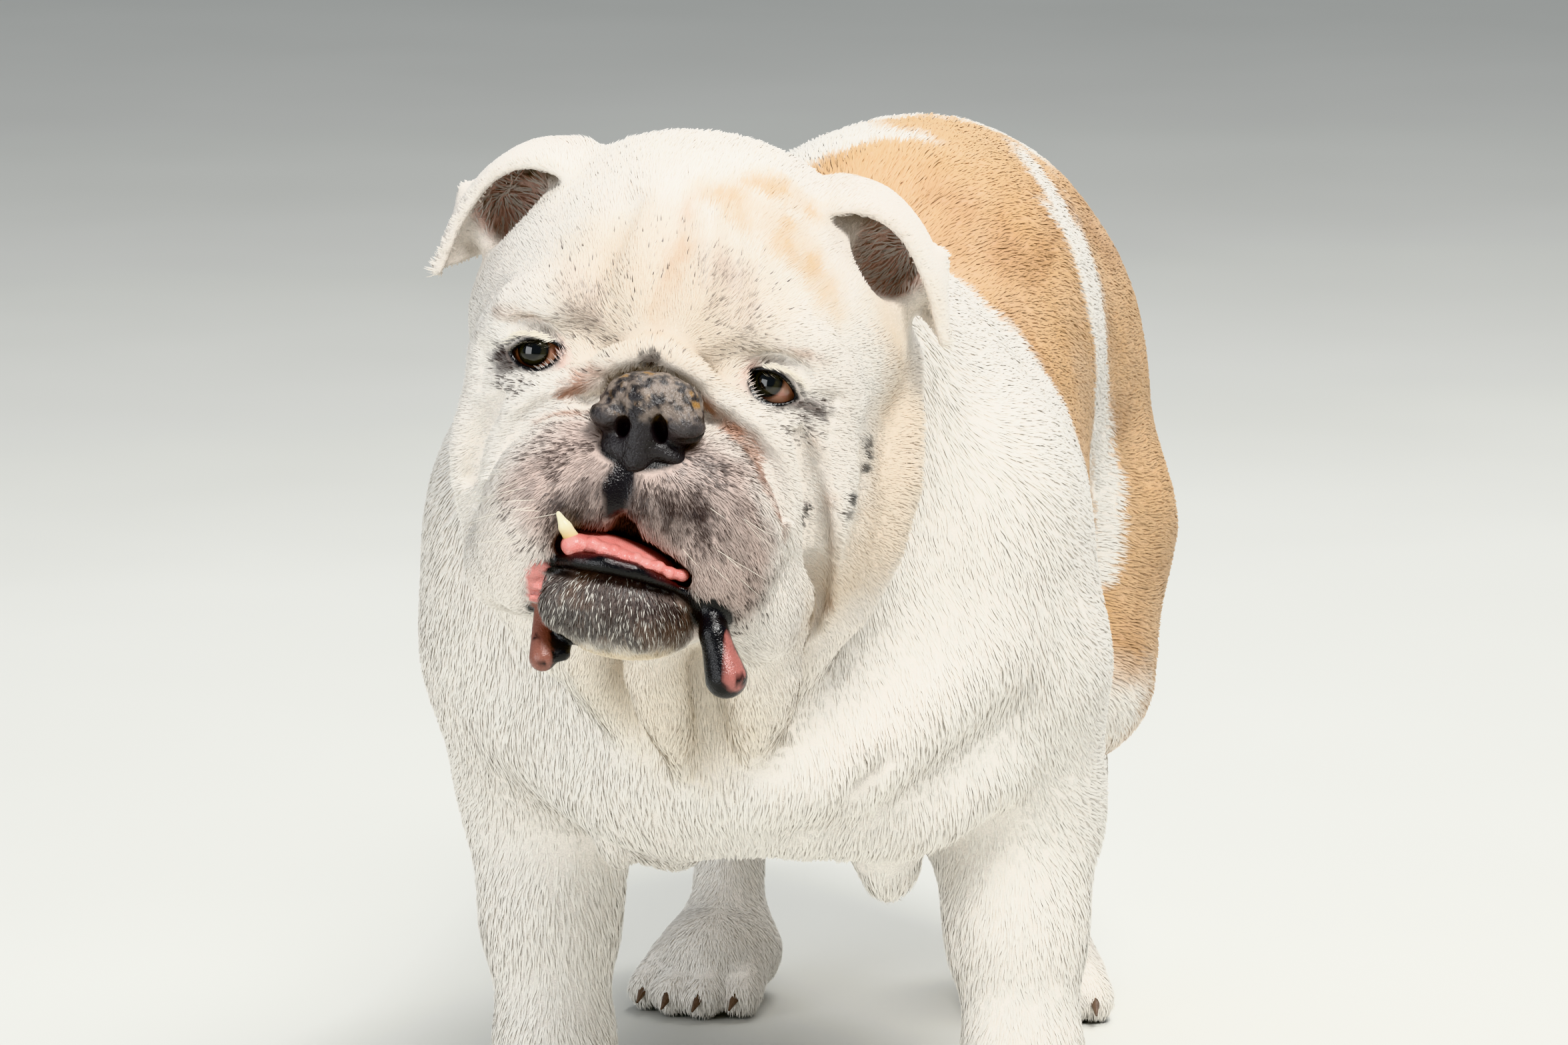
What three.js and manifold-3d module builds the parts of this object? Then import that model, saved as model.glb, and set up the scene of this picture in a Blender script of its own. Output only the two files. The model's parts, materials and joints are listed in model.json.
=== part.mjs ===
// A standing English bulldog, life size, in millimetres. The dog looks along -Y, its left side is +X and +Z is up.
// The body is modelled whole as one blended clay form, then parted into named pieces by thin cuts.
import * as THREE from "three";
import { triTable } from "three/addons/objects/MarchingCubes.js";
import { mergeVertices } from "three/addons/utils/BufferGeometryUtils.js";
import Module from "manifold-3d";

const wasm = await Module();
wasm.setup();

// Driving dimensions
const WITHERS = 385; // height of the shoulder tops above the floor
const LOIN = 427; // height of the arched back above the floor
const CHEST_HALF = 118; // half the width of the rib cage
const WHEELBASE = 408; // from the forefeet back to the hind feet
const STANCE_FRONT = 97; // each forefoot from the middle plane
const HEAD_HALF = 92; // half the width of the head at the cheeks
const MUZZLE_HALF = 60; // half the width of the muzzle
const EYE_APART = 47.5; // each eye from the middle of the face
const EYE_R = 12; // radius of an eyeball
const GAP = 0.3; // clearance between neighbouring pieces
const CELL = 5.5; // grid step of the first rough mesh

// The spine isn't quite straight: the chest stands a little to the dog's right, the croup to its left.
const CHEST_SWAY = -20;
const SWAY_PER_MM = 26 / 450;
const sway = (y) => CHEST_SWAY + SWAY_PER_MM * y;

// The head is placed by the middle of the nose, and turned about it: tipped back, and down on its left.
const NOSE = new THREE.Vector3(-32, -190, 376);
const HEAD_TIP = THREE.MathUtils.degToRad(-10.5);
const HEAD_ROLL = THREE.MathUtils.degToRad(6.6);
const headPlace = new THREE.Matrix4()
  .makeRotationX(HEAD_TIP)
  .multiply(new THREE.Matrix4().makeRotationY(HEAD_ROLL))
  .setPosition(NOSE);
const headBack = headPlace.clone().invert().elements;

// Clay forms. Each gives a signed distance, below zero inside, and a ball that holds it.

// A ball stretched to three radii and turned by angles in degrees.
function egg(at, radii, turn = [0, 0, 0]) {
  const angles = turn.map(THREE.MathUtils.degToRad);
  const m = new THREE.Matrix4().makeRotationFromEuler(new THREE.Euler(...angles)).transpose().elements;
  const [rx, ry, rz] = radii;
  const distance = (x, y, z) => {
    const dx = x - at[0];
    const dy = y - at[1];
    const dz = z - at[2];
    const a = (m[0] * dx + m[4] * dy + m[8] * dz) / rx;
    const b = (m[1] * dx + m[5] * dy + m[9] * dz) / ry;
    const c = (m[2] * dx + m[6] * dy + m[10] * dz) / rz;
    const k = Math.sqrt(a * a + b * b + c * c);
    const slope = Math.sqrt((a / rx) ** 2 + (b / ry) ** 2 + (c / rz) ** 2);
    return slope < 1e-9 ? -Math.min(rx, ry, rz) : (k * (k - 1)) / slope;
  };
  return { distance, at, reach: Math.max(rx, ry, rz) };
}

// A limb with round ends that tapers from radius ra at a to rb at b.
function limb(a, b, ra, rb) {
  const d = b.map((v, i) => v - a[i]);
  const long = d[0] ** 2 + d[1] ** 2 + d[2] ** 2;
  const distance = (x, y, z) => {
    const px = x - a[0];
    const py = y - a[1];
    const pz = z - a[2];
    const t = Math.min(1, Math.max(0, (px * d[0] + py * d[1] + pz * d[2]) / long));
    return Math.hypot(px - d[0] * t, py - d[1] * t, pz - d[2] * t) - ra - (rb - ra) * t;
  };
  const at = a.map((v, i) => v + d[i] / 2);
  return { distance, at, reach: Math.sqrt(long) / 2 + Math.max(ra, rb) };
}

// A fold of skin: a limb that follows a smooth curve through the points and thins out to both ends.
function fold(points, r, steps = 6) {
  const curve = new THREE.CatmullRomCurve3(points.map((p) => new THREE.Vector3(...p)));
  const stops = curve.getPoints(steps).map((p) => p.toArray());
  const radius = (i) => r * (0.5 + 0.5 * Math.sin((Math.PI * i) / steps));
  const pieces = stops.slice(1).map((p, i) => limb(stops[i], p, radius(i), radius(i + 1)));
  const at = stops[Math.floor(steps / 2)];
  const reach = Math.max(...stops.map((p) => Math.hypot(...p.map((v, i) => v - at[i])))) + r;
  const distance = (x, y, z) => Math.min(...pieces.map((q) => q.distance(x, y, z)));
  return { distance, at, reach };
}

// The same form on both sides of the middle plane; make(s) gets s = -1 for the dog's right and 1 for its left.
const both = (make) => [-1, 1].map(make);

const add = (soft, ...forms) => forms.flat(Infinity).map((f) => ({ ...f, soft, sign: 1 }));
const carve = (soft, ...forms) => forms.flat(Infinity).map((f) => ({ ...f, soft, sign: -1 }));

// Smooth union of two distances over a width k.
function blend(a, b, k) {
  const h = Math.max(k - Math.abs(a - b), 0) / k;
  return Math.min(a, b) - (h * h * k) / 4;
}

// One distance from a list of forms that are added to and carved from one another in turn.
function clay(forms) {
  return (x, y, z) => {
    let d = 1e3;
    for (const f of forms) {
      const near = Math.hypot(x - f.at[0], y - f.at[1], z - f.at[2]) - f.reach;
      if (f.sign > 0 && near > d + f.soft) continue;
      if (f.sign < 0 && near > f.soft + Math.max(0, -d)) continue;
      const e = f.distance(x, y, z);
      d = f.sign > 0 ? blend(d, e, f.soft) : -blend(-d, e, f.soft);
    }
    return d;
  };
}

// Trunk
const at = (x, y, z) => [x + sway(y), y, z];
const ribs = egg(at(0, 146, 272), [CHEST_HALF, 178, 100]);
const breast = egg(at(0, 14, 254), [102, 86, 80]);
const neckRoot = egg(at(0, 18, 326), [90, 90, 70]);
const withers = egg(at(0, 84, WITHERS - 38), [64, 92, 36]);
const loin = egg(at(5, 296, LOIN - 102), [95, 132, 100]);
const saddle = egg(at(2, 190, 318), [84, 100, 66]);
const belly = egg(at(0, 216, 262), [90, 130, 68]);
const croup = egg(at(4, 384, 326), [86, 84, 88]);
const shoulders = both((s) => egg([s * 92 - 18, 28, 262], [48, 78, 92], [0, s * 8, 0]));
const thighs = both((s) => egg([s * 62 + 4, 374, 246], [44, 80, 104], [-12, 0, 0]));

// Forelegs, bowed a little outwards
const forefoot = (s) => [s * STANCE_FRONT - (s < 0 ? 3 : 0), -14];
const foreleg = (s) => {
  const [fx, fy] = forefoot(s);
  const wrist = [fx, 2, 74];
  return [
    limb([s * 99 - 11, 18, 236], [s * 98 - 9, 34, 176], 42, 34),
    limb([s * 98 - 9, 34, 176], [s * 98 - 6, 16, 128], 32, 25),
    limb([s * 98 - 6, 16, 128], wrist, 25, 21),
    limb(wrist, [fx, fy, 38], 21, 24),
  ];
};
const elbows = both((s) => egg([s * 97 - 7, 70, 172], [23, 24, 28]));

// Paws: a pad with four toes, the middle two longest
const TOE_SPREAD = 15;
const toeList = [-1.5, -0.5, 0.5, 1.5];
const toeForward = (i) => (Math.abs(i) > 1 ? 0 : 8);
function paw(fx, fy, width, turn) {
  const c = Math.cos(turn);
  const s = Math.sin(turn);
  const put = (dx, dy, z) => [fx + dx * c - dy * s, fy + dx * s + dy * c, z];
  return {
    pad: [egg([fx, fy - 6, 22], [width, 36, 24], [0, 0, THREE.MathUtils.radToDeg(turn)])],
    toes: toeList.map((i) => limb(put(i * TOE_SPREAD * 0.8, -18, 20), put(i * TOE_SPREAD, -36 - toeForward(i), 10), 12, 11)),
    claws: toeList.map((i) => ({ root: put(i * TOE_SPREAD, -38 - toeForward(i), 11), turn })),
  };
}
const PAW_TURN = 0.2;
const hindfoot = (s) => (s < 0 ? [-93, WHEELBASE] : [54, WHEELBASE + 6]);
const forepaws = both((s) => paw(...forefoot(s), 33, s * PAW_TURN * 0.6));
const hindpaws = both((s) => paw(...hindfoot(s), 29, s * PAW_TURN));

// Hind legs: thigh, knee, hock and the upright below it
const hindleg = (s) => {
  const [fx, fy] = hindfoot(s);
  const knee = [s * 76 + sway(330), 334, 172];
  const hock = [fx + s * 2, fy + 50, 92];
  return [
    limb([s * 70 + sway(360), 362, 232], knee, 50, 34),
    limb(knee, [fx, fy + 38, 112], 34, 20),
    limb([fx, fy + 38, 112], hock, 20, 16),
    limb(hock, [fx, fy + 16, 40], 17, 18),
  ];
};

// Neck with the dewlap that hangs from the throat
const neck = limb([-28, -44, 372], at(0, 66, 316), 84, 106);
const throat = limb([-28, -84, 312], at(0, -18, 250), 60, 92);
const dewlap = [
  fold([[-66, -134, 302], [-64, -126, 272], [-53, -96, 236]], 13),
  fold([[-34, -146, 304], [-34, -138, 266], [-28, -110, 224]], 14),
  fold([[6, -142, 306], [8, -130, 266], [0, -104, 228]], 17),
];
const collarFolds = [
  fold([[56, -72, 382], [54, -98, 336], [36, -108, 290], [6, -98, 250]], 15),
  fold([[-108, -92, 356], [-104, -106, 312], [-80, -104, 270], [-48, -94, 240]], 15),
];
const chestFolds = [
  fold([[-40, -88, 214], [4, -98, 210], [46, -84, 222], [84, -46, 252]], 16),
  fold([[-96, -40, 220], [-56, -66, 203], [-10, -74, 196]], 14),
  fold([[24, -66, 190], [56, -54, 188], [86, -30, 202]], 14),
];
const chestLumps = [
  egg([44, -24, 168], [15, 20, 20]),
  egg([-68, -22, 172], [10, 14, 14]),
  egg([-46, -34, 174], [11, 14, 11]),
];
const chestHollow = egg([-10, -20, 150], [24, 70, 26]);
const tail = [
  limb(at(2, 446, 362), at(4, 470, 346), 22, 15),
  limb(at(4, 470, 346), at(13, 478, 326), 14, 8),
];

const bodyForms = [
  ...add(36, ribs, breast, neckRoot, withers, saddle, loin, belly, croup),
  ...add(34, shoulders, thighs),
  ...add(26, both(foreleg), both(hindleg)),
  ...add(14, elbows),
  ...add(14, [...forepaws, ...hindpaws].map((p) => p.pad)),
  ...add(4, [...forepaws, ...hindpaws].map((p) => p.toes)),
  ...add(30, neck, throat),
  ...add(16, collarFolds),
  ...add(34, chestFolds),
  ...carve(16, chestHollow),
  ...add(14, chestLumps),
  ...add(9, dewlap),
  ...add(10, tail),
];

// Head, in its own frame: x to the dog's left, y back from the middle of the nose, z up the face
const cranium = egg([0, 100, 61], [72, 72, 56]);
const forehead = egg([0, 58, 52], [56, 38, 38]);
const cheekBones = both((s) => egg([s * 44, 56, 4], [32, 30, 28]));
const temples = both((s) => egg([s * (HEAD_HALF - 41), 96, 36], [39, 54, 46]));
const orbits = both((s) => egg([s * EYE_APART, 48, 18], [24, 20, 19]));
const cheeks = both((s) => egg([s * (HEAD_HALF - 51), 84, -14], [35, 48, 50]));
const muzzle = egg([0, 40, -28], [MUZZLE_HALF - 4, 44, 36]);
const flews = both((s) => egg([s * 34, 24, -44], [28, 30, 40], [0, s * -8, 0]));
const jowls = both((s) => egg([s * 43, 62, -44], [27, 38, 42]));
const leftCheek = egg([64, 86, -32], [27, 40, 44]); // the skin hangs fuller on the side the head is tipped to
const throatLatch = egg([0, 72, -56], [48, 52, 34]);
const lipPads = both((s) => egg([s * 16, 12, -34], [17, 18, 19], [0, s * -12, 0]));
const flewEdges = [egg([53, 46, -68], [17, 28, 22]), egg([-52, 46, -64], [17, 28, 20])];
const noseRoll = both((s) => fold([[0, 20, 27], [s * 14, 20, 22], [s * 28, 24, 13]], 6));
const noseFolds = both((s) => fold([[s * 22, 24, 12], [s * 37, 24, 7], [s * 50, 29, -4], [s * 60, 40, -28], [s * 62, 56, -58]], 9));
const brows = both((s) => fold([[s * 22, 30, 50], [s * 40, 30, 43], [s * 58, 36, 36], [s * 71, 52, 18]], 11));
const cheekFolds = both((s) => fold([[s * 70, 48, 12], [s * 73, 50, -22], [s * 64, 52, -60]], 9));
const earRoots = both((s) => egg([s * 68, 102, 68], [23, 24, 24]));
const eyeAt = (s) => [s * EYE_APART - 1, 40, 20];
const sockets = both((s) => egg([s * EYE_APART - 1, 22, 20], [12, 10, 8]));
const furrow = fold([[0, 14, 42], [2, 15, 72], [4, 44, 108]], 7);
const noseSeat = egg([0, 8, 2], [25, 14, 20]);
const lipSplit = fold([[0, -4, -12], [0, -7, -26], [0, -4, -40]], 3);
const mouth = egg([-2, 14, -50], [30, 26, 12], [0, 8, 0]);
const earCups = both((s) => egg([s * 78, 84, 76], [15, 22, 15]));

const headForms = [
  ...add(26, cranium, forehead),
  ...add(20, temples, cheeks, cheekBones),
  ...add(12, orbits),
  ...add(16, muzzle, throatLatch, jowls, leftCheek),
  ...add(10, flews),
  ...add(7, lipPads),
  ...add(8, earRoots),
  ...add(14, brows),
  ...add(12, noseRoll),
  ...add(5, noseFolds),
  ...add(9, cheekFolds),
  ...add(8, flewEdges),
  ...carve(10, furrow),
  ...carve(6, sockets, earCups),
  ...carve(5, noseSeat),
  ...carve(4, lipSplit, mouth),
];

const bodyClay = clay(bodyForms);
const headClay = clay(headForms);
const NECK_BLEND = 12;

// The distance to the head at a point of the dog's frame.
function headDistance(x, y, z) {
  const h = headBack;
  return headClay(
    h[0] * x + h[4] * y + h[8] * z + h[12],
    h[1] * x + h[5] * y + h[9] * z + h[13],
    h[2] * x + h[6] * y + h[10] * z + h[14],
  );
}
const dogClay = (x, y, z) => blend(bodyClay(x, y, z), headDistance(x, y, z), NECK_BLEND);

// Meshing

// The surface where a distance is zero, by marching cubes over a box, as { points, faces }.
function march(distance, low, high, step) {
  const n = low.map((v, i) => Math.ceil((high[i] - v) / step) + 1);
  const index = (i, j, k) => i + n[0] * (j + n[1] * k);
  const place = (i, j, k) => [low[0] + i * step, low[1] + j * step, low[2] + k * step];
  const value = new Float32Array(n[0] * n[1] * n[2]);
  for (let k = 0; k < n[2]; k++)
    for (let j = 0; j < n[1]; j++)
      for (let i = 0; i < n[0]; i++) value[index(i, j, k)] = distance(...place(i, j, k)) || 1e-6;
  const corner = [[0, 0, 0], [1, 0, 0], [1, 1, 0], [0, 1, 0], [0, 0, 1], [1, 0, 1], [1, 1, 1], [0, 1, 1]];
  const ends = [[0, 1], [1, 2], [2, 3], [3, 0], [4, 5], [5, 6], [6, 7], [7, 4], [0, 4], [1, 5], [2, 6], [3, 7]];
  const points = [];
  const faces = [];
  const made = new Map();
  const vertex = (p, q) => {
    const a = index(...p);
    const b = index(...q);
    const key = a < b ? a * value.length + b : b * value.length + a;
    if (!made.has(key)) {
      const t = Math.min(0.92, Math.max(0.08, value[a] / (value[a] - value[b])));
      const from = place(...p);
      const to = place(...q);
      made.set(key, points.length);
      points.push(from.map((v, m) => v + (to[m] - v) * t));
    }
    return made.get(key);
  };
  for (let k = 0; k < n[2] - 1; k++)
    for (let j = 0; j < n[1] - 1; j++)
      for (let i = 0; i < n[0] - 1; i++) {
        const cell = corner.map(([a, b, c]) => [i + a, j + b, k + c]);
        const bits = cell.reduce((sum, c, m) => sum + (value[index(...c)] > 0 ? 1 << m : 0), 0);
        for (let t = bits * 16; triTable[t] >= 0; t += 3)
          faces.push([0, 1, 2].map((m) => vertex(...ends[triTable[t + m]].map((e) => cell[e]))));
      }
  return { points, faces };
}

const sub = (a, b) => [a[0] - b[0], a[1] - b[1], a[2] - b[2]];
const cross = (a, b) => [a[1] * b[2] - a[2] * b[1], a[2] * b[0] - a[0] * b[2], a[0] * b[1] - a[1] * b[0]];
const dot = (a, b) => a[0] * b[0] + a[1] * b[1] + a[2] * b[2];
const unit = (a) => a.map((v) => v / (Math.hypot(...a) || 1));
const faceNormal = (p, f) => cross(sub(p[f[1]], p[f[0]]), sub(p[f[2]], p[f[0]]));

function slope(distance, p) {
  const h = 0.4;
  const [x, y, z] = p;
  return [
    distance(x + h, y, z) - distance(x - h, y, z),
    distance(x, y + h, z) - distance(x, y - h, z),
    distance(x, y, z + h) - distance(x, y, z - h),
  ].map((v) => v / (2 * h));
}

// Moves a point onto the surface along the slope of the distance.
function settle(distance, p) {
  const g = slope(distance, p);
  const d = distance(...p);
  const most = 2;
  const move = Math.max(-most, Math.min(most, d / (dot(g, g) || 1)));
  return p.map((v, i) => v - move * g[i]);
}

// Lists for each point the faces that meet there.
function around(count, faces) {
  const rings = Array.from({ length: count }, () => []);
  faces.forEach((f, i) => f.forEach((v) => rings[v].push(i)));
  return rings;
}

// Evens the mesh out: each point goes to the middle of its neighbours and back onto the surface.
function relax(mesh, distance) {
  const { points, faces } = mesh;
  const rings = around(points.length, faces);
  mesh.points = points.map((p, v) => {
    const near = [...new Set(rings[v].flatMap((f) => faces[f]))].filter((w) => w !== v);
    const mid = [0, 1, 2].map((i) => near.reduce((sum, w) => sum + points[w][i], 0) / near.length);
    const n = unit(rings[v].reduce((sum, f) => sum.map((s, i) => s + faceNormal(points, faces[f])[i]), [0, 0, 0]));
    const off = sub(mid, p);
    const out = dot(off, n);
    return settle(distance, p.map((x, i) => x + 0.5 * (off[i] - n[i] * out)));
  });
}

// Merges the ends of edges shorter than the size wanted there, while the surface stays closed and unfolded.
function thin(mesh, sizeAt) {
  let { points, faces } = mesh;
  const rings = around(points.length, faces);
  const edges = [];
  faces.forEach((f) => f.forEach((a, i) => a < f[(i + 1) % 3] && edges.push([a, f[(i + 1) % 3]])));
  const length = ([a, b]) => Math.hypot(...sub(points[a], points[b]));
  const middle = ([a, b]) => points[a].map((v, i) => (v + points[b][i]) / 2);
  const short = edges.map((e) => ({ e, l: length(e), mid: middle(e) })).filter(({ l, mid }) => l < 0.8 * sizeAt(mid));
  short.sort((p, q) => p.l - q.l);
  const locked = new Set();
  const into = new Map();
  let merged = 0;
  for (const { e: [a, b], mid } of short) {
    const touched = [...new Set([...rings[a], ...rings[b]].flatMap((f) => faces[f]))];
    if (touched.some((v) => locked.has(v))) continue;
    const ofA = new Set(rings[a].flatMap((f) => faces[f]));
    const shared = [...new Set(rings[b].flatMap((f) => faces[f]))].filter((v) => v !== a && v !== b && ofA.has(v));
    if (shared.length !== 2 || shared.some((v) => rings[v].length < 5)) continue;
    const kept = [...rings[a], ...rings[b]].filter((f) => !(faces[f].includes(a) && faces[f].includes(b)));
    const folds = kept.some((f) => {
      const before = faceNormal(points, faces[f]);
      const tri = faces[f].map((v) => (v === a || v === b ? mid : points[v]));
      const after = cross(sub(tri[1], tri[0]), sub(tri[2], tri[0]));
      return dot(before, after) < 0.35 * Math.hypot(...before) * Math.hypot(...after);
    });
    if (folds) continue;
    points[a] = mid;
    into.set(b, a);
    touched.forEach((v) => locked.add(v));
    merged++;
  }
  faces = faces.map((f) => f.map((v) => into.get(v) ?? v)).filter((f) => new Set(f).size === 3);
  const fresh = new Map();
  const kept = [];
  faces = faces.map((f) =>
    f.map((v) => {
      if (!fresh.has(v)) {
        fresh.set(v, kept.length);
        kept.push(points[v]);
      }
      return fresh.get(v);
    }),
  );
  mesh.points = kept;
  mesh.faces = faces;
  return merged;
}

// A fine rough mesh, thinned to the wanted edge lengths and settled on the surface.
function modelled(distance, low, high, step, sizeAt) {
  const mesh = march(distance, low, high, step);
  relax(mesh, distance);
  for (let pass = 0; pass < 40; pass++) {
    const merged = thin(mesh, sizeAt);
    if (pass % 2) relax(mesh, distance);
    if (merged < mesh.points.length / 500) break;
  }
  relax(mesh, distance);
  relax(mesh, distance);
  return solid(geometryOf(mesh));
}

function geometryOf({ points, faces }) {
  const g = new THREE.BufferGeometry();
  g.setAttribute("position", new THREE.Float32BufferAttribute(points.flat(), 3));
  g.setIndex(faces.flat());
  return g;
}

// A closed three.js geometry as a manifold-3d solid, and back.
function solid(geometry, matrix) {
  let g = geometry.clone();
  g.deleteAttribute("normal");
  g.deleteAttribute("uv");
  if (matrix) g.applyMatrix4(matrix);
  g = mergeVertices(g, 1e-3);
  const options = { numProp: 3, vertProperties: g.attributes.position.array, triVerts: new Uint32Array(g.index.array) };
  return new wasm.Manifold(new wasm.Mesh(options));
}
function geometry(made) {
  const m = made.getMesh();
  const g = new THREE.BufferGeometry();
  g.setAttribute("position", new THREE.BufferAttribute(m.vertProperties.slice(), 3));
  g.setIndex(new THREE.BufferAttribute(m.triVerts.slice(), 1));
  return g;
}

// The same solid with every face moved outwards by a distance, for cutting a clearance round it.
function swell(made, by) {
  const { vertProperties: p, triVerts: t } = made.getMesh();
  const points = Array.from({ length: p.length / 3 }, (_, i) => [...p.slice(3 * i, 3 * i + 3)]);
  const faces = Array.from({ length: t.length / 3 }, (_, i) => [...t.slice(3 * i, 3 * i + 3)]);
  const rings = around(points.length, faces);
  const moved = points.map((point, v) => {
    const normals = rings[v].map((f) => unit(faceNormal(points, faces[f])));
    const n = unit(normals.reduce((sum, m) => sum.map((x, i) => x + m[i]), [0, 0, 0]));
    const least = Math.max(0.35, Math.min(...normals.map((m) => dot(m, n))));
    return point.map((x, i) => x + (n[i] * by) / least);
  });
  return solid(geometryOf({ points: moved, faces }));
}
const largest = (made) => made.decompose().sort((a, b) => b.volume() - a.volume())[0];

// Pieces with their own meshes, placed in the head's frame

// A sheet of even thickness over a surface point(u, v), closed along its edges.
function sheet(point, thickness, columns, rows) {
  const surface = (u, v) => new THREE.Vector3(...point(u, v));
  const points = [[], []];
  for (let j = 0; j <= rows; j++)
    for (let i = 0; i <= columns; i++) {
      const u = i / columns;
      const v = j / rows;
      const h = 0.02;
      const du = surface(Math.min(1, u + h), v).sub(surface(Math.max(0, u - h), v));
      const dv = surface(u, Math.min(1, v + h)).sub(surface(u, Math.max(0, v - h)));
      const n = du.cross(dv).normalize();
      const edge = i === 0 || i === columns || j === rows ? 0.55 : 1;
      points[0].push(surface(u, v).addScaledVector(n, (edge * thickness) / 2));
      points[1].push(surface(u, v).addScaledVector(n, (-edge * thickness) / 2));
    }
  const at = (side, i, j) => side * points[0].length + j * (columns + 1) + i;
  const faces = [];
  const quad = (a, b, c, d) => faces.push([a, b, c], [a, c, d]);
  for (let j = 0; j < rows; j++)
    for (let i = 0; i < columns; i++) {
      faces.push([at(0, i, j), at(0, i + 1, j), at(0, i + 1, j + 1)], [at(0, i, j), at(0, i + 1, j + 1), at(0, i, j + 1)]);
      faces.push([at(1, i, j), at(1, i + 1, j + 1), at(1, i + 1, j)], [at(1, i, j), at(1, i, j + 1), at(1, i + 1, j + 1)]);
    }
  for (let i = 0; i < columns; i++) {
    quad(at(0, i + 1, 0), at(0, i, 0), at(1, i, 0), at(1, i + 1, 0));
    quad(at(0, i, rows), at(0, i + 1, rows), at(1, i + 1, rows), at(1, i, rows));
  }
  for (let j = 0; j < rows; j++) {
    quad(at(0, 0, j), at(0, 0, j + 1), at(1, 0, j + 1), at(1, 0, j));
    quad(at(0, columns, j + 1), at(0, columns, j), at(1, columns, j), at(1, columns, j + 1));
  }
  const made = { points: points.flat().map((p) => p.toArray()), faces };
  const closed = solid(geometryOf(made), headPlace);
  return closed.volume() > 0 ? closed : solid(geometryOf({ points: made.points, faces: faces.map((f) => f.toReversed()) }), headPlace);
}

// A rose ear: a hood from the front of its root over the top to a tip that hangs at the side.
const EAR_THICK = 4;
function ear(s) {
  const curve = (list) => new THREE.CatmullRomCurve3(list.map(([x, y, z]) => new THREE.Vector3(s * x, y, z)));
  const root = curve([[42, 92, 92], [50, 114, 98], [64, 122, 92], [76, 120, 78], [86, 112, 62], [98, 97, 52]]);
  const crown = curve([[38, 84, 98], [50, 92, 113], [72, 96, 113], [93, 97, 96], [104, 94, 72], [105, 90, 49]]);
  const rim = curve([[42, 70, 82], [54, 64, 91], [69, 64, 93], [83, 70, 86], [95, 78, 68], [103, 86, 46]]);
  const point = (u, v) => {
    const [a, b, c] = [root, crown, rim].map((q) => q.getPoint(u));
    const w = [(1 - v) ** 2, 2 * v * (1 - v), v * v];
    return ["x", "y", "z"].map((k) => a[k] * w[0] + b[k] * w[1] + c[k] * w[2]);
  };
  return sheet(point, EAR_THICK, 13, 5);
}

const eyeball = (s) =>
  solid(new THREE.SphereGeometry(EYE_R, 16, 10), headPlace.clone().multiply(new THREE.Matrix4().makeTranslation(...eyeAt(s))));

// The rim of both lids: a closed tube that lies on the eyeball, wider than high, with its outer corner low.
function lids(s) {
  const [ex, ey, ez] = eyeAt(s);
  const steps = 12;
  const loop = Array.from({ length: steps }, (_, i) => {
    const t = (i / steps) * 2 * Math.PI;
    const side = 8.6 * Math.cos(t);
    const up = 5.2 * Math.sin(t) * (0.75 + 0.25 * Math.abs(Math.sin(t))) - 0.16 * side;
    const out = Math.sqrt((EYE_R + 0.8) ** 2 - side ** 2 - up ** 2);
    return new THREE.Vector3(ex + s * side, ey - out, ez + up);
  });
  const tube = new THREE.TubeGeometry(new THREE.CatmullRomCurve3(loop, true), 20, 2.4, 6, true);
  const made = solid(tube, headPlace);
  return made.volume() > 0 ? made : solid(flipped(tube), headPlace);
}
function flipped(g) {
  const turned = g.clone();
  turned.setIndex(Array.from({ length: g.index.count / 3 }, (_, i) => [2, 1, 0].map((k) => g.index.array[3 * i + k])).flat());
  return turned;
}

// Turns a distance given in the head's frame into a solid of the dog's frame.
const inHead = (forms, low, high, step, size) =>
  modelled(clay(forms), low, high, step, () => size).transform(headPlace.elements);

const noseForms = [
  ...add(8, egg([0, 4, 5], [22, 15, 15]), egg([0, 5, -10], [15, 12, 14])),
  ...add(5, both((s) => egg([s * 14, 1, -1], [10, 11, 9]))),
  ...add(6, limb([0, -2, -14], [0, 0, -30], 8, 6)),
  ...carve(2, both((s) => fold([[s * 8, -9, 1], [s * 10, -10, -4], [s * 17, -6, -8]], 3.4))),
  ...carve(3, fold([[0, -14, 4], [0, -14, -14], [0, -12, -32]], 2.5)),
];
const nose = inHead(noseForms, [-30, -20, -44], [30, 28, 28], 2.6, 5);

const jawForms = [
  ...add(12, egg([0, 14, -75], [33, 26, 20], [0, 5, 0]), egg([0, 40, -76], [36, 34, 16])),
  ...add(4, fold([[-30, 8, -62], [-14, -6, -57], [8, -8, -58], [30, 6, -66]], 5)),
  ...add(5, limb([-29, 14, -82], [-25, 6, -98], 6, 7), limb([34, 10, -62], [41, 4, -79], 6, 7)),
  ...add(5, limb([41, 4, -79], [48, 4, -95], 7, 10)),
];
const jaw = inHead(jawForms, [-60, -26, -112], [60, 84, -42], 4.2, 8.5);

const tongueForms = add(5, egg([-1, 13, -50], [25, 19, 7], [0, 8, 0]));
const tongue = inHead(tongueForms, [-32, -12, -64], [32, 38, -36], 3.4, 6.5);

const canine = solid(
  new THREE.CylinderGeometry(0.6, 3.2, 15, 8).rotateX(Math.PI / 2),
  headPlace.clone().multiply(new THREE.Matrix4().makeRotationY(-0.3).setPosition(-24.5, 0, -47)),
);

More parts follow.
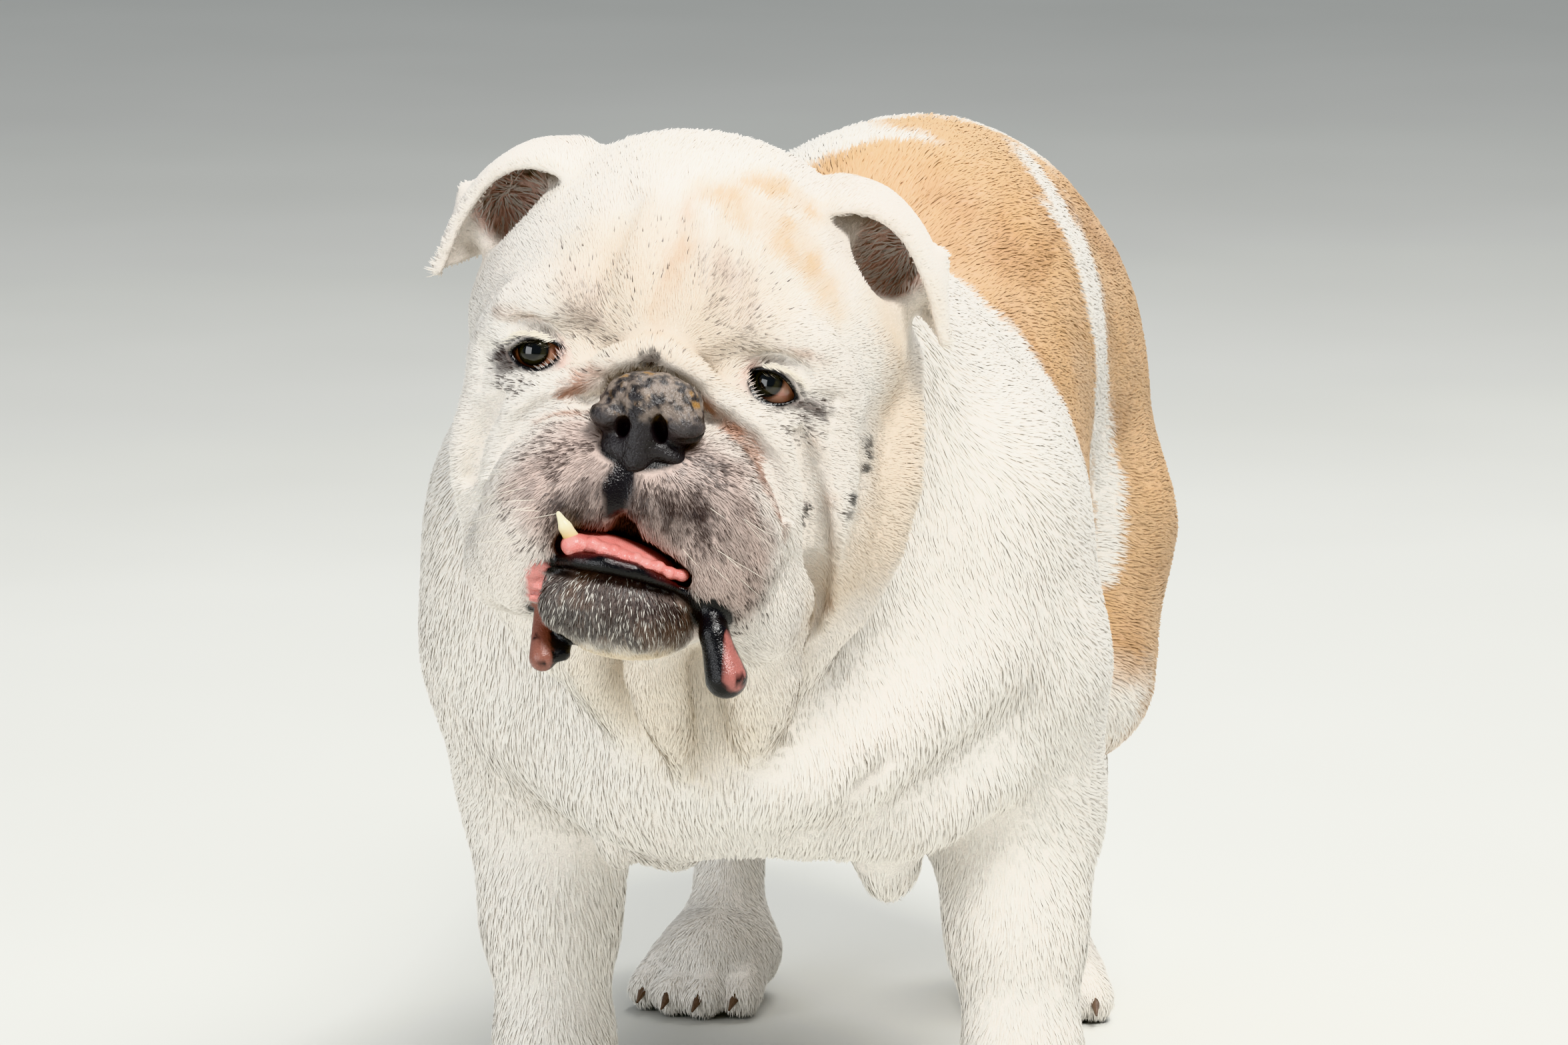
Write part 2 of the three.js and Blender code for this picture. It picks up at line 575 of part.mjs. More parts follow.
// A claw, set in the front of a toe and pointing down and forwards.
function claw({ root, turn }) {
  const g = new THREE.ConeGeometry(3.2, 12, 6);
  const tilt = new THREE.Matrix4().makeRotationZ(turn).multiply(new THREE.Matrix4().makeRotationX(Math.PI - 1.1));
  const forward = new THREE.Vector3(0, -11, -1.5).applyAxisAngle(new THREE.Vector3(0, 0, 1), turn);
  return solid(g, tilt.setPosition(new THREE.Vector3(...root).add(forward)));
}

// Cutting bodies

const HUGE = 1200;
// Everything on the far side of a plane through a point, along its normal.
function beyond(point, normal) {
  const g = new THREE.BoxGeometry(HUGE, HUGE, HUGE);
  g.translate(0, 0, HUGE / 2);
  const n = new THREE.Vector3(...normal).normalize();
  const turn = new THREE.Matrix4().makeRotationFromQuaternion(
    new THREE.Quaternion().setFromUnitVectors(new THREE.Vector3(0, 0, 1), n),
  );
  return solid(g, turn.setPosition(...point));
}
function block(low, high) {
  const g = new THREE.BoxGeometry(...high.map((v, i) => v - low[i]));
  return solid(g, new THREE.Matrix4().makeTranslation(...high.map((v, i) => (v + low[i]) / 2)));
}
const grown = (low, high) => block(low.map((v) => v - GAP), high.map((v) => v + GAP));
const along = (point, normal, by) => {
  const n = unit(normal);
  return point.map((v, i) => v + n[i] * by);
};

// The whole animal, with fine faces on the head and coarse ones on the trunk
const FACE = new THREE.Vector3(0, 18, -18).applyMatrix4(headPlace);
const focuses = [
  { at: FACE.toArray(), radius: 62, edge: 7.4 },
  { at: [-28, -134, 266], radius: 44, edge: 8 },
];
function edgeLength(p) {
  const wanted = focuses.map((f) => f.edge + Math.max(0, Math.hypot(...sub(p, f.at)) - f.radius) * 0.16);
  const byFeet = 10.5 + Math.max(0, p[2] - 40) * 0.1;
  return Math.min(...wanted, byFeet, 26);
}
const LOW = [-190, -235, -6];
const HIGH = [180, 530, 510];
let whole = modelled(dogClay, LOW, HIGH, CELL, edgeLength);

whole = whole.add(lids(-1)).add(lids(1));
for (const p of [...forepaws, ...hindpaws]) for (const c of p.claws) whole = whole.add(claw(c));
const floor = beyond([0, 0, 0], [0, 0, 1]);
whole = whole.intersect(floor);

const pieces = new Map();
// Sets pieces into the animal in turn: each one clears its own room in the ones already there.
function inset(name, made) {
  const room = swell(made, GAP);
  whole = whole.subtract(room);
  for (const [other, there] of pieces) pieces.set(other, there.subtract(room));
  pieces.set(name, made);
}
for (const [side, s] of [["right", -1], ["left", 1]]) {
  inset(`eye_${side}`, eyeball(s));
  inset(`ear_${side}`, ear(s));
}
inset("lower_jaw", jaw);
inset("nose", nose);
inset("tongue", tongue);
inset("canine", canine);
whole = largest(whole);

// Head and neck are parted by two sloping planes.
const headNormal = new THREE.Vector3(0, 0.913, -0.41).transformDirection(headPlace).toArray();
const headCut = new THREE.Vector3(0, 106, 0).applyMatrix4(headPlace).toArray();
const chestCut = [0, -20, 308];
const chestNormal = [0, 0.818, -0.575];
const part = (name, region, regionGrown) => {
  pieces.set(name, largest(whole.intersect(region)));
  whole = whole.subtract(regionGrown);
};
const back = (v) => v.map((x) => -x);
part("head", beyond(headCut, back(headNormal)), beyond(along(headCut, headNormal, GAP), back(headNormal)));
part("neck", beyond(chestCut, back(chestNormal)), beyond(along(chestCut, chestNormal, GAP), back(chestNormal)));

// Limbs: each is what lies in a block and beyond a plane that slopes up and out from its inner side.
const paws = { fore: 50, hind: 48 };
function limbCell(s, low, high, point, normal, grow) {
  const far = HUGE / 2;
  const inner = Math.min(Math.abs(low[0]), Math.abs(high[0]));
  const box = block(
    [s < 0 ? -far : inner - grow, low[1] - grow, -far],
    [s < 0 ? grow - inner : far, high[1] + grow, high[2] + grow],
  );
  return box.intersect(beyond(along(point, normal, -grow), normal));
}
for (const [side, s] of [["right", -1], ["left", 1]]) {
  const limbs = {
    fore: [[s * 30, -130, 0], [s * 300, 112, 300], [s * 52 + CHEST_SWAY / 2, 0, 150], [s * 0.72, 0, -0.69]],
    hind: [[s * 14, 244, 0], [s * 300, 560, 330], [s * 16 + 4, 0, 176], [s * 0.8, 0, -0.6]],
  };
  for (const [kind, cell] of Object.entries(limbs)) {
    const leg = largest(whole.intersect(limbCell(s, ...cell, 0)));
    whole = whole.subtract(limbCell(s, ...cell, GAP));
    const height = paws[kind];
    pieces.set(`${kind}paw_${side}`, largest(leg.intersect(beyond([0, 0, height], [0, 0, -1]))));
    pieces.set(`${kind}leg_${side}`, largest(leg.intersect(beyond([0, 0, height + GAP], [0, 0, 1]))));
  }
}
const TAIL_BLOCK = [[-60, 462, 280], [80, 560, 400]];
pieces.set("tail", largest(whole.intersect(block(...TAIL_BLOCK))));
whole = whole.subtract(grown(...TAIL_BLOCK));
pieces.set("torso", largest(whole));

// Finishes
const finish = (color, roughness) => new THREE.MeshStandardMaterial({ color, roughness, metalness: 0 });
const coat = finish(0xe9e2d4, 0.85);
const skins = {
  nose: finish(0x35302e, 0.45),
  tongue: finish(0xd98583, 0.35),
  canine: finish(0xe6d7a4, 0.4),
  eye_left: finish(0x17130f, 0.1),
  eye_right: finish(0x17130f, 0.1),
  lower_jaw: finish(0x8d8078, 0.7),
  torso: finish(0xd8b88c, 0.85),
};

const dog = new THREE.Group();
for (const [name, made] of pieces) {
  const mesh = new THREE.Mesh(geometry(made), skins[name] ?? coat);
  mesh.name = name;
  dog.add(mesh);
}

// The origin is on the floor, under the middle of the whole animal.
const bounds = new THREE.Box3().setFromObject(dog);
const middle = bounds.getCenter(new THREE.Vector3());
dog.position.set(-middle.x, -middle.y, -bounds.min.z);

export default dog;
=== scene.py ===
# %% [markdown]
# # A standing English bulldog, life size
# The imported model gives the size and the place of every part. This lesson dresses it: one closed skin with
# its folds, lids and lips, a coat of short hair in thin tufts, and the wet parts that stay bare.

# %% Load the frame
import json
import math
import time

import bmesh
import bpy
import numpy as np
import openvdb
from mathutils import Matrix, Vector
from mathutils.bvhtree import BVHTree


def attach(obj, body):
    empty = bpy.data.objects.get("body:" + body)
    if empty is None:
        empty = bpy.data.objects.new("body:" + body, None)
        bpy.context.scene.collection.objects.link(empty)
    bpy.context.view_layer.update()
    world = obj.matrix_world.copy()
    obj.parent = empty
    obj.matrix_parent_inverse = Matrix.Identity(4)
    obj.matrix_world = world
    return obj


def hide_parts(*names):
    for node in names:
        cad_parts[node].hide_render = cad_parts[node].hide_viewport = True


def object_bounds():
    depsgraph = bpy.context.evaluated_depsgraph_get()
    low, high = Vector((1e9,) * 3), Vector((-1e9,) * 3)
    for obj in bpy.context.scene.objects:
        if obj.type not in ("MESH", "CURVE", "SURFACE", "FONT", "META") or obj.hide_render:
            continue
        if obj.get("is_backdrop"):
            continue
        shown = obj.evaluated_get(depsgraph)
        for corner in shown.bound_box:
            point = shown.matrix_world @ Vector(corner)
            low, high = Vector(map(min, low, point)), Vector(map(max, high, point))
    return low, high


START = time.time()
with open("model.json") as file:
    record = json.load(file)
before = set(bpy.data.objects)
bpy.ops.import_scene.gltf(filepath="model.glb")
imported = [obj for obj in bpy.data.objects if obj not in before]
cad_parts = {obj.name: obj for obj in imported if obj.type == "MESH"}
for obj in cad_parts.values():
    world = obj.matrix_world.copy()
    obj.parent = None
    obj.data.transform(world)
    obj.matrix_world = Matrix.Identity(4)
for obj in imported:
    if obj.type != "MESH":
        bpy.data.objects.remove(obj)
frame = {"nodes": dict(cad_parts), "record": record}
cad_low, cad_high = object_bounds()
MM = 0.001
print("frame box", [round(v, 3) for v in (*cad_low, *cad_high)])

# %% [markdown]
# ## One set of axes for the making
# The forms are easier to think of in millimetres on the dog's own axes: x to its left, y to its tail, z up.
# A sole's mount in the record says where those axes lie in the frame. The head has axes of its own, from the
# middle of the nose, because it is tipped back and rolled a little to the dog's left.

# %% Axes
SOLE = Vector((-100, -20, 0))
sole_mount = next(m for m in frame["record"]["mounts"] if m["name"] == "forepaw_right_sole")
SHIFT = np.array(Vector(sole_mount["pos_m"]) - SOLE * MM)
NOSE = Vector((-32, -190, 376))
HEAD_TIP = math.radians(-10.5)
HEAD_ROLL = math.radians(6.6)
head_place = (
    Matrix.Translation(NOSE) @ Matrix.Rotation(HEAD_TIP, 4, "X") @ Matrix.Rotation(HEAD_ROLL, 4, "Y"))
HEAD_TURN = np.array(head_place.to_3x3())


def to_head(points):
    """Points of the dog's axes in the head's."""
    return (points - np.array(NOSE)) @ HEAD_TURN


def from_head(points):
    """Points of the head's axes in the dog's."""
    return np.asarray(points, float) @ HEAD_TURN.T + np.array(NOSE)


def to_frame(points):
    """Millimetres on the dog's axes as metres in the frame."""
    return np.asarray(points, float) * MM + SHIFT


print("shift", SHIFT.round(4))

# %% [markdown]
# ## Camera
# A long lens from a little above and to the dog's left gives the flat look of the photograph. Such a lens
# makes near and far parts alike in size, so the length of the lens and the distance are chosen together.


# %% Camera
def placed(name, data):
    """A new object in the scene."""
    made = bpy.data.objects.new(name, data)
    bpy.context.scene.collection.objects.link(made)
    return made


def look_along(looker, way):
    """Turns a camera or a lamp to look along a vector."""
    looker.rotation_mode = "QUATERNION"
    looker.rotation_quaternion = way.to_track_quat("-Z", "Y")


AIM = to_frame((-3, 0, 300.6))
CAMERA_AWAY = 3.58
CAMERA_SIDE = math.radians(8.5)
CAMERA_UP = math.radians(10.5)
back = Vector((
    math.sin(CAMERA_SIDE) * math.cos(CAMERA_UP), -math.cos(CAMERA_SIDE) * math.cos(CAMERA_UP),
    math.sin(CAMERA_UP)))
camera_data = bpy.data.cameras.new("camera")
camera_data.lens = 200
camera_data.sensor_width = 36
camera_data.clip_end = 100
camera = placed("camera", camera_data)
camera.location = Vector(AIM) + back * CAMERA_AWAY
look_along(camera, -back)
bpy.context.scene.camera = camera
print("camera at", camera.location)

# %% [markdown]
# ## Floor and light
# The floor is one pale surface with a slow, faint change of tone. Three large soft lamps light the white coat
# without hard shadows: small ones would draw each tuft more sharply, but burn out the white. The fill stands
# rather low in front, so that some of its light gets under the brows and into the ears.


# %% Materials' helper
def srgb(red, green, blue):
    """A colour as seen on a screen, from 0 to 1, in the linear values that shaders use."""
    return tuple(v / 12.92 if v <= 0.04045 else ((v + 0.055) / 1.055) ** 2.4 for v in (red, green, blue))


def new_material(name, roughness=0.6, **sockets):
    """A material with one Principled shader, and its node tree."""
    material = bpy.data.materials.new(name)
    material.use_nodes = True
    shader = material.node_tree.nodes["Principled BSDF"]
    shader.inputs["Roughness"].default_value = roughness
    for socket, value in sockets.items():
        shader.inputs[socket.replace("_", " ")].default_value = value
    return material, material.node_tree, shader


print("a mid grey is", round(srgb(0.5, 0.5, 0.5)[0], 3), "to a shader")


# %% Floor
FLOOR_HALF = 12.0
floor_material, floor_tree, floor_shader = new_material("pale_floor", 0.8)
floor_place = floor_tree.nodes.new("ShaderNodeTexCoord")
floor_noise = floor_tree.nodes.new("ShaderNodeTexNoise")
floor_noise.inputs["Scale"].default_value = 3.0
floor_ramp = floor_tree.nodes.new("ShaderNodeValToRGB")
floor_ramp.color_ramp.elements[0].color = (*srgb(0.80, 0.80, 0.78), 1)
floor_ramp.color_ramp.elements[1].color = (*srgb(0.84, 0.84, 0.82), 1)
floor_tree.links.new(floor_place.outputs["Object"], floor_noise.inputs["Vector"])
floor_tree.links.new(floor_noise.outputs["Fac"], floor_ramp.inputs["Fac"])
floor_tree.links.new(floor_ramp.outputs["Color"], floor_shader.inputs["Base Color"])
floor_mesh = bpy.data.meshes.new("floor")
build = bmesh.new()
bmesh.ops.create_grid(build, x_segments=2, y_segments=2, size=FLOOR_HALF)
build.to_mesh(floor_mesh)
build.free()
floor_mesh.materials.append(floor_material)
floor = placed("floor", floor_mesh)
floor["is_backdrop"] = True
print("floor of", floor.dimensions.x, "m")


# %% Lamps
def lamp(name, place, size, watts, colour):
    """A square soft lamp that points at the chest."""
    data = bpy.data.lights.new(name, "AREA")
    data.size = size
    data.energy = watts
    data.color = colour
    made = placed(name, data)
    made.location = place
    look_along(made, CHEST - Vector(place))


CHEST = Vector((0, -0.1, 0.3))
lamp("key", (1.0, -1.5, 2.7), 1.1, 112, (1.0, 0.985, 0.955))
lamp("fill", (-1.9, -2.3, 0.8), 1.8, 36, (0.97, 0.985, 1.0))
lamp("top", (0.5, 1.0, 2.6), 1.4, 52, (1.0, 0.99, 0.97))
world = bpy.data.worlds.new("studio")
world.use_nodes = True
world.node_tree.nodes["Background"].inputs["Color"].default_value = (*srgb(0.86, 0.88, 0.90), 1)
world.node_tree.nodes["Background"].inputs["Strength"].default_value = 0.52
bpy.context.scene.world = world
bpy.context.scene.view_settings.view_transform = "Khronos PBR Neutral"

# %% [markdown]
# ## Clay
# A body has no edges, so it is thought of as clay: eggs, tapered limbs and long folds that melt into one
# another. It could be sculpted by hand or built of metaballs, but functions keep each size as a named value.
# A form says how far a point is from its surface, below zero inside. Melting two forms takes the smaller
# distance and rounds the crease over a chosen width.


# %% Eggs and limbs
class Form:
    """A distance with the ball that holds the form, so that far points can be skipped."""

    def __init__(self, distance, at, reach):
        self.distance = distance
        self.at = np.asarray(at, np.float32)
        self.reach = reach
        self.soft = 1.0
        self.sign = 1


def egg(at, radii, turn=(0, 0, 0)):
    """A ball stretched to three radii, and turned by angles in degrees about x, y and z."""
    middle = np.asarray(at, np.float32)
    radii = np.asarray(radii, np.float32)
    rx, ry, rz = (math.radians(v) for v in turn)
    turned = Matrix.Rotation(rx, 3, "X") @ Matrix.Rotation(ry, 3, "Y") @ Matrix.Rotation(rz, 3, "Z")
    axes = np.array(turned, np.float32)

    def distance(p):
        q = (p - middle) @ axes / radii
        far = np.sqrt((q * q).sum(1))
        slope = np.sqrt(((q / radii) ** 2).sum(1))
        return far * (far - 1) / np.maximum(slope, 1e-6)

    return Form(distance, middle, float(radii.max()))


def limb(a, b, ra, rb):
    """A limb with round ends that tapers from radius ra at a to rb at b."""
    a = np.asarray(a, np.float32)
    way = np.asarray(b, np.float32) - a
    long = float(way @ way)

    def distance(p):
        off = p - a
        t = np.clip(off @ way / long, 0, 1)
        off = off - t[:, None] * way
        return np.sqrt((off * off).sum(1)) - ra - (rb - ra) * t

    return Form(distance, a + way / 2, math.sqrt(long) / 2 + max(ra, rb))


test_egg = egg((0, 0, 0), (10, 20, 30))
print("2 mm outside an egg:", test_egg.distance(np.array([(12.0, 0.0, 0.0)], np.float32)).round(2))


# %% Folds
def smooth_line(points, steps):
    """Points along a smooth curve through the given ones, as three.js draws its centripetal curve."""
    p = np.asarray(points, float)
    p = np.vstack([2 * p[0] - p[1], p, 2 * p[-1] - p[-2]])
    spans = len(p) - 3
    line = []
    for step in range(steps + 1):
        place = min(spans * step / steps, spans - 1e-9)
        i = int(place)
        t = place - i
        x0, x1, x2, x3 = p[i:i + 4]
        d0, d1, d2 = (
            max(float(((b - a) ** 2).sum()) ** 0.25, 1e-4) for a, b in ((x0, x1), (x1, x2), (x2, x3)))
        t1 = ((x1 - x0) / d0 - (x2 - x0) / (d0 + d1) + (x2 - x1) / d1) * d1
        t2 = ((x2 - x1) / d1 - (x3 - x1) / (d1 + d2) + (x3 - x2) / d2) * d1
        line.append(
            x1 + t1 * t + (-3 * x1 + 3 * x2 - 2 * t1 - t2) * t * t + (2 * x1 - 2 * x2 + t1 + t2) * t ** 3)
    return np.array(line)


def fold(points, r, steps=6):
    """A fold of skin: a limb along a smooth curve that thins out to both ends."""
    stops = smooth_line(points, steps)
    radii = [r * (0.5 + 0.5 * math.sin(math.pi * i / steps)) for i in range(steps + 1)]
    pieces = [limb(stops[i], stops[i + 1], radii[i], radii[i + 1]) for i in range(steps)]
    middle = stops[steps // 2]
    reach = float(np.linalg.norm(stops - middle, axis=1).max()) + r
    return Form(lambda p: np.min([q.distance(p) for q in pieces], axis=0), middle, reach)


test_fold = fold([(0, 0, 0), (10, 0, 5), (20, 0, 0)], 2)
print("a fold reaches", round(test_fold.reach, 1), "mm from its middle")


# %% Adding, carving and melting
def flat_list(forms):
    """The forms of lists within lists, in one list."""
    return [g for f in forms for g in (flat_list(f) if isinstance(f, (list, tuple)) else [f])]


def set_forms(sign, soft, forms):
    """Says of forms whether they are added or carved, and over what width they melt."""
    made = flat_list(forms)
    for form in made:
        form.sign = sign
        form.soft = soft
    return made


def add(soft, *forms):
    return set_forms(1, soft, forms)


def carve(soft, *forms):
    return set_forms(-1, soft, forms)


def both(make):
    """The same form on the dog's right (-1) and left (1)."""
    return [make(-1), make(1)]


def blend(a, b, k):
    """The smaller of two distances, rounded over a width k."""
    h = np.maximum(k - np.abs(a - b), 0) / k
    return np.minimum(a, b) - h * h * k / 4


FAR = 1e3


def clay(points, forms, start=None):
    """One distance from a list of forms that are added to and carved from one another in turn."""
    p = np.asarray(points, np.float32)
    d = np.full(len(p), FAR, np.float32) if start is None else start.astype(np.float32)
    for form in forms:
        off = p - form.at
        near = np.sqrt((off * off).sum(1)) - form.reach
        room = d + form.soft if form.sign > 0 else form.soft + np.maximum(0, -d)
        hit = np.flatnonzero(near < room)
        if len(hit):
            e = form.distance(p[hit])
            d[hit] = blend(d[hit], e, form.soft) if form.sign > 0 else -blend(-d[hit], e, form.soft)
    return d


print("two eggs 1 mm away melt to", blend(np.array([1.0]), np.array([1.0]), 8))

# %% [markdown]
# ## The trunk and legs
# These repeat the numbers of the solid model, so the skin follows it. A bulldog stands wide on short bowed
# forelegs and its loose skin hangs and wrinkles on the chest, elbows and throat, so folds come last there.

# %% Legs
CHEST_SWAY = -20
SWAY_PER_MM = 26 / 450


def at(x, y, z):
    """A place beside the spine, which isn't quite straight."""
    return (x + CHEST_SWAY + SWAY_PER_MM * y, y, z)


def forefoot(s):
    """Where a front paw stands."""
    return (s * 97 - (3 if s < 0 else 0), -14)


def hindfoot(s):
    """Where a hind paw stands."""
    return (-93, 408) if s < 0 else (54, 414)


def foreleg(s):
    """The tapered limbs of a front leg, from the shoulder down."""
    fx, fy = forefoot(s)
    return [
        limb((s * 99 - 11, 18, 236), (s * 98 - 9, 34, 176), 42, 34),
        limb((s * 98 - 9, 34, 176), (s * 98 - 6, 16, 128), 32, 25),
        limb((s * 98 - 6, 16, 128), (fx, 2, 74), 25, 21),
        limb((fx, 2, 74), (fx, fy, 38), 21, 24),
    ]


def hindleg(s):
    """The tapered limbs of a hind leg, from the hip down."""
    fx, fy = hindfoot(s)
    knee = (s * 76 + at(0, 330, 0)[0], 334, 172)
    hock = (fx + s * 2, fy + 50, 92)
    return [
        limb((s * 70 + at(0, 360, 0)[0], 362, 232), knee, 50, 34),
        limb(knee, (fx, fy + 38, 112), 34, 20),
        limb((fx, fy + 38, 112), hock, 20, 16),
        limb(hock, (fx, fy + 16, 40), 17, 18),
    ]


print(len(foreleg(1)) + len(hindleg(1)), "limbs a side")

# %% Paws
TOE_SPREAD = 15
TOES = (-1.5, -0.5, 0.5, 1.5)
PAW_TURN = 0.2
FOREPAW_TURN = 0.6 * PAW_TURN
FOREPAW_HALF, HINDPAW_HALF = 33, 29
paw_list = [(*forefoot(s), FOREPAW_HALF, s * FOREPAW_TURN) for s in (-1, 1)] + [
    (*hindfoot(s), HINDPAW_HALF, s * PAW_TURN) for s in (-1, 1)]


def paw_point(paw, dx, dy, z):
    """A place on a paw, from its middle to its own left and back."""
    fx, fy, _, turn = paw
    c, s = math.cos(turn), math.sin(turn)
    return (fx + dx * c - dy * s, fy + dx * s + dy * c, z)


def toe_forward(i):
    """How far the two middle toes stand out in front of the others."""
    return 0 if abs(i) > 1 else 8


pads = [
    egg((fx, fy - 6, 22), (width, 36, 24), (0, 0, math.degrees(turn))) for fx, fy, width, turn in paw_list]
toes = [
    limb(paw_point(paw, i * 12, -18, 20), paw_point(paw, i * TOE_SPREAD, -36 - toe_forward(i), 10), 12, 11)
    for paw in paw_list for i in TOES]
print(len(toes), "toes")

# %% Trunk
body_forms = [
    *add(
        36, egg(at(0, 146, 272), (118, 178, 100)), egg(at(0, 14, 254), (102, 86, 80)),
        egg(at(0, 18, 326), (90, 90, 70)), egg(at(0, 84, 347), (64, 92, 36)),
        egg(at(2, 190, 318), (84, 100, 66)), egg(at(5, 296, 325), (95, 132, 100)),
        egg(at(0, 216, 262), (90, 130, 68)), egg(at(4, 384, 326), (86, 84, 88))),
    *add(
        34, both(lambda s: egg((s * 92 - 18, 28, 262), (48, 78, 92), (0, s * 8, 0))),
        both(lambda s: egg((s * 62 + 4, 374, 246), (44, 80, 104), (-12, 0, 0)))),
    *add(26, both(foreleg), both(hindleg)),
    *add(14, both(lambda s: egg((s * 97 - 7, 70, 172), (23, 24, 28)))),
    *add(14, pads),
    *add(4, toes),
    *add(
        30, limb((-28, -44, 372), at(0, 66, 316), 84, 106),
        limb((-28, -84, 312), at(0, -18, 250), 60, 92)),
    *add(
        16, fold([(56, -72, 382), (54, -98, 336), (36, -108, 290), (6, -98, 250)], 15),
        fold([(-108, -92, 356), (-104, -106, 312), (-80, -104, 270), (-48, -94, 240)], 15)),
    *add(
        34, fold([(-40, -88, 214), (4, -98, 210), (46, -84, 222), (84, -46, 252)], 16),
        fold([(-96, -40, 220), (-56, -66, 203), (-10, -74, 196)], 14),
        fold([(24, -66, 190), (56, -54, 188), (86, -30, 202)], 14)),
    *carve(16, egg((-10, -20, 150), (24, 70, 26))),
    *add(
        14, egg((44, -24, 168), (15, 20, 20)), egg((-68, -22, 172), (10, 14, 14)),
        egg((-46, -34, 174), (11, 14, 11))),
    *add(
        9, fold([(-66, -134, 302), (-64, -126, 272), (-53, -96, 236)], 13),
        fold([(-34, -146, 304), (-34, -138, 266), (-28, -110, 224)], 14),
        fold([(6, -142, 306), (8, -130, 266), (0, -104, 228)], 17)),
    *carve(6, fold([(70, -98, 262), (84, -84, 236), (104, -62, 232), (128, -40, 240)], 5)),
    *carve(5, fold([(37, -100, 199), (44, -98, 213), (54, -96, 226)], 4)),
    *add(
        10, limb(at(2, 446, 362), at(4, 470, 346), 22, 15),
        limb(at(4, 470, 346), at(13, 478, 326), 14, 8)),
]
print(len(body_forms), "body forms")

# %% [markdown]
# ## The head
# The skull is broad and short, the nose lies deep between the cheeks, and a roll of skin runs over it.
# Forms in the head's own axes are the same on both sides but for the mouth, which hangs to the dog's left.
# Large forms come first and creases last, since each one is melted into what the ones before it made.

# %% Creases round the eyes
HEAD_HALF = 92
EYE_APART = 47.5
EYE_R = 12


def eye_at(s):
    """The middle of an eye, in the head's axes."""
    return np.array((s * EYE_APART - 1, 40, 20), float)


def eye_crease(s):
    """The fold above an upper lid."""
    eye = eye_at(s)
    turns = [math.radians(a) for a in (5, 45, 85, 125, 165)]
    arch = [eye + (s * 14.5 * math.cos(a), -14, 10 * math.sin(a) + s * -1.5 * math.cos(a)) for a in turns]
    return fold(arch, 2.4)


def pocket_creases(s):
    """Three short wrinkles that fan out behind the outer corner of an eye."""
    return [fold([(s * 57, 27, z), (s * 63, 29, z - fall), (s * 70, 36, z - 2 * fall)], 1.8)
            for z, fall in ((17, 0), (14, 2), (11, 4))]


print("eyes at", eye_at(-1), eye_at(1))


# %% Head forms
def brow_fold(s):
    """The ridge over an eye, which runs down to the cheek."""
    return fold([(s * 22, 30, 50), (s * 40, 30, 43), (s * 58, 36, 36), (s * 71, 52, 18)], 11)


def nose_fold(s):
    """The fold that runs from the nose round the muzzle."""
    way = [(s * 22, 24, 12), (s * 37, 24, 7), (s * 50, 29, -4), (s * 60, 40, -28), (s * 62, 56, -58)]
    return fold(way, 9)


def nose_crease(s):
    """The crease between that fold and the muzzle."""
    way = [(s * 23, 24, 3), (s * 32, 16, 4), (s * 42, 18, -3), (s * 52, 21, -13), (s * 57, 24, -30)]
    return fold(way, 3.2)


mouth_forms = [
    egg((-13, 12, -52.5), (12.5, 26, 7)), egg((3, 12, -53), (15, 26, 7), (0, 8, 0)),
    egg((19, 14, -57), (11, 26, 5), (0, 14, 0)), egg((0.5, 4, -45), (4, 16, 6))]
head_forms = [
    *add(26, egg((0, 100, 61), (72, 72, 56)), egg((0, 58, 52), (56, 38, 38))),
    *add(
        20, both(lambda s: egg((s * (HEAD_HALF - 41), 96, 36), (39, 54, 46))),
        both(lambda s: egg((s * (HEAD_HALF - 51), 84, -14), (35, 48, 50))),
        both(lambda s: egg((s * 44, 56, 4), (32, 30, 28)))),
    *add(12, both(lambda s: egg((s * EYE_APART, 48, 18), (24, 20, 19)))),
    *add(
        16, egg((0, 40, -28), (56, 44, 36)), egg((0, 72, -56), (48, 52, 34)),
        egg((64, 86, -32), (27, 40, 44)),
        both(lambda s: egg((s * 43, 62, -44), (27, 38, 42)))),
    *add(10, both(lambda s: egg((s * 34, 24, -44), (28, 30, 40), (0, s * -8, 0)))),
    *add(7, both(lambda s: egg((s * 16, 12, -34), (17, 18, 19), (0, s * -12, 0)))),
    *add(8, both(lambda s: egg((s * 68, 102, 68), (23, 24, 24)))),
    *add(14, both(brow_fold)),
    *add(12, both(lambda s: fold([(0, 20, 27), (s * 14, 20, 22), (s * 28, 24, 13)], 6))),
    *add(5, both(nose_fold)),
    *add(9, both(lambda s: fold([(s * 70, 48, 12), (s * 73, 50, -22), (s * 64, 52, -60)], 9))),
    *add(8, egg((53, 46, -68), (17, 28, 22)), egg((-52, 46, -64), (17, 28, 20))),
    *carve(10, fold([(0, 14, 42), (2, 15, 72), (4, 44, 108)], 7)),
    *carve(7, both(lambda s: fold([(s * 20, 17, 34), (s * 27, 19, 54), (s * 20, 30, 82)], 5))),
    *carve(6, both(lambda s: egg((s * 78, 84, 76), (15, 22, 15)))),
    *carve(4, egg((3.4, 11, 3), (20.5, 12, 14.5))),
    *carve(4, fold([(0, -8, -14), (0, -9, -28), (0, -6, -46)], 3.4)),
    *carve(3, mouth_forms),
    *carve(2.5, both(nose_crease)),
    *carve(3, fold([(59, 31, 2), (66, 39, -22), (70, 46, -44), (68, 68, -64), (61, 92, -84)], 5)),
    *carve(5, fold([(-61, 32, 0), (-66, 38, -14), (-69, 44, -32)], 3)),
    *carve(2.5, both(eye_crease), both(pocket_creases)),
]
print(len(head_forms), "head forms")

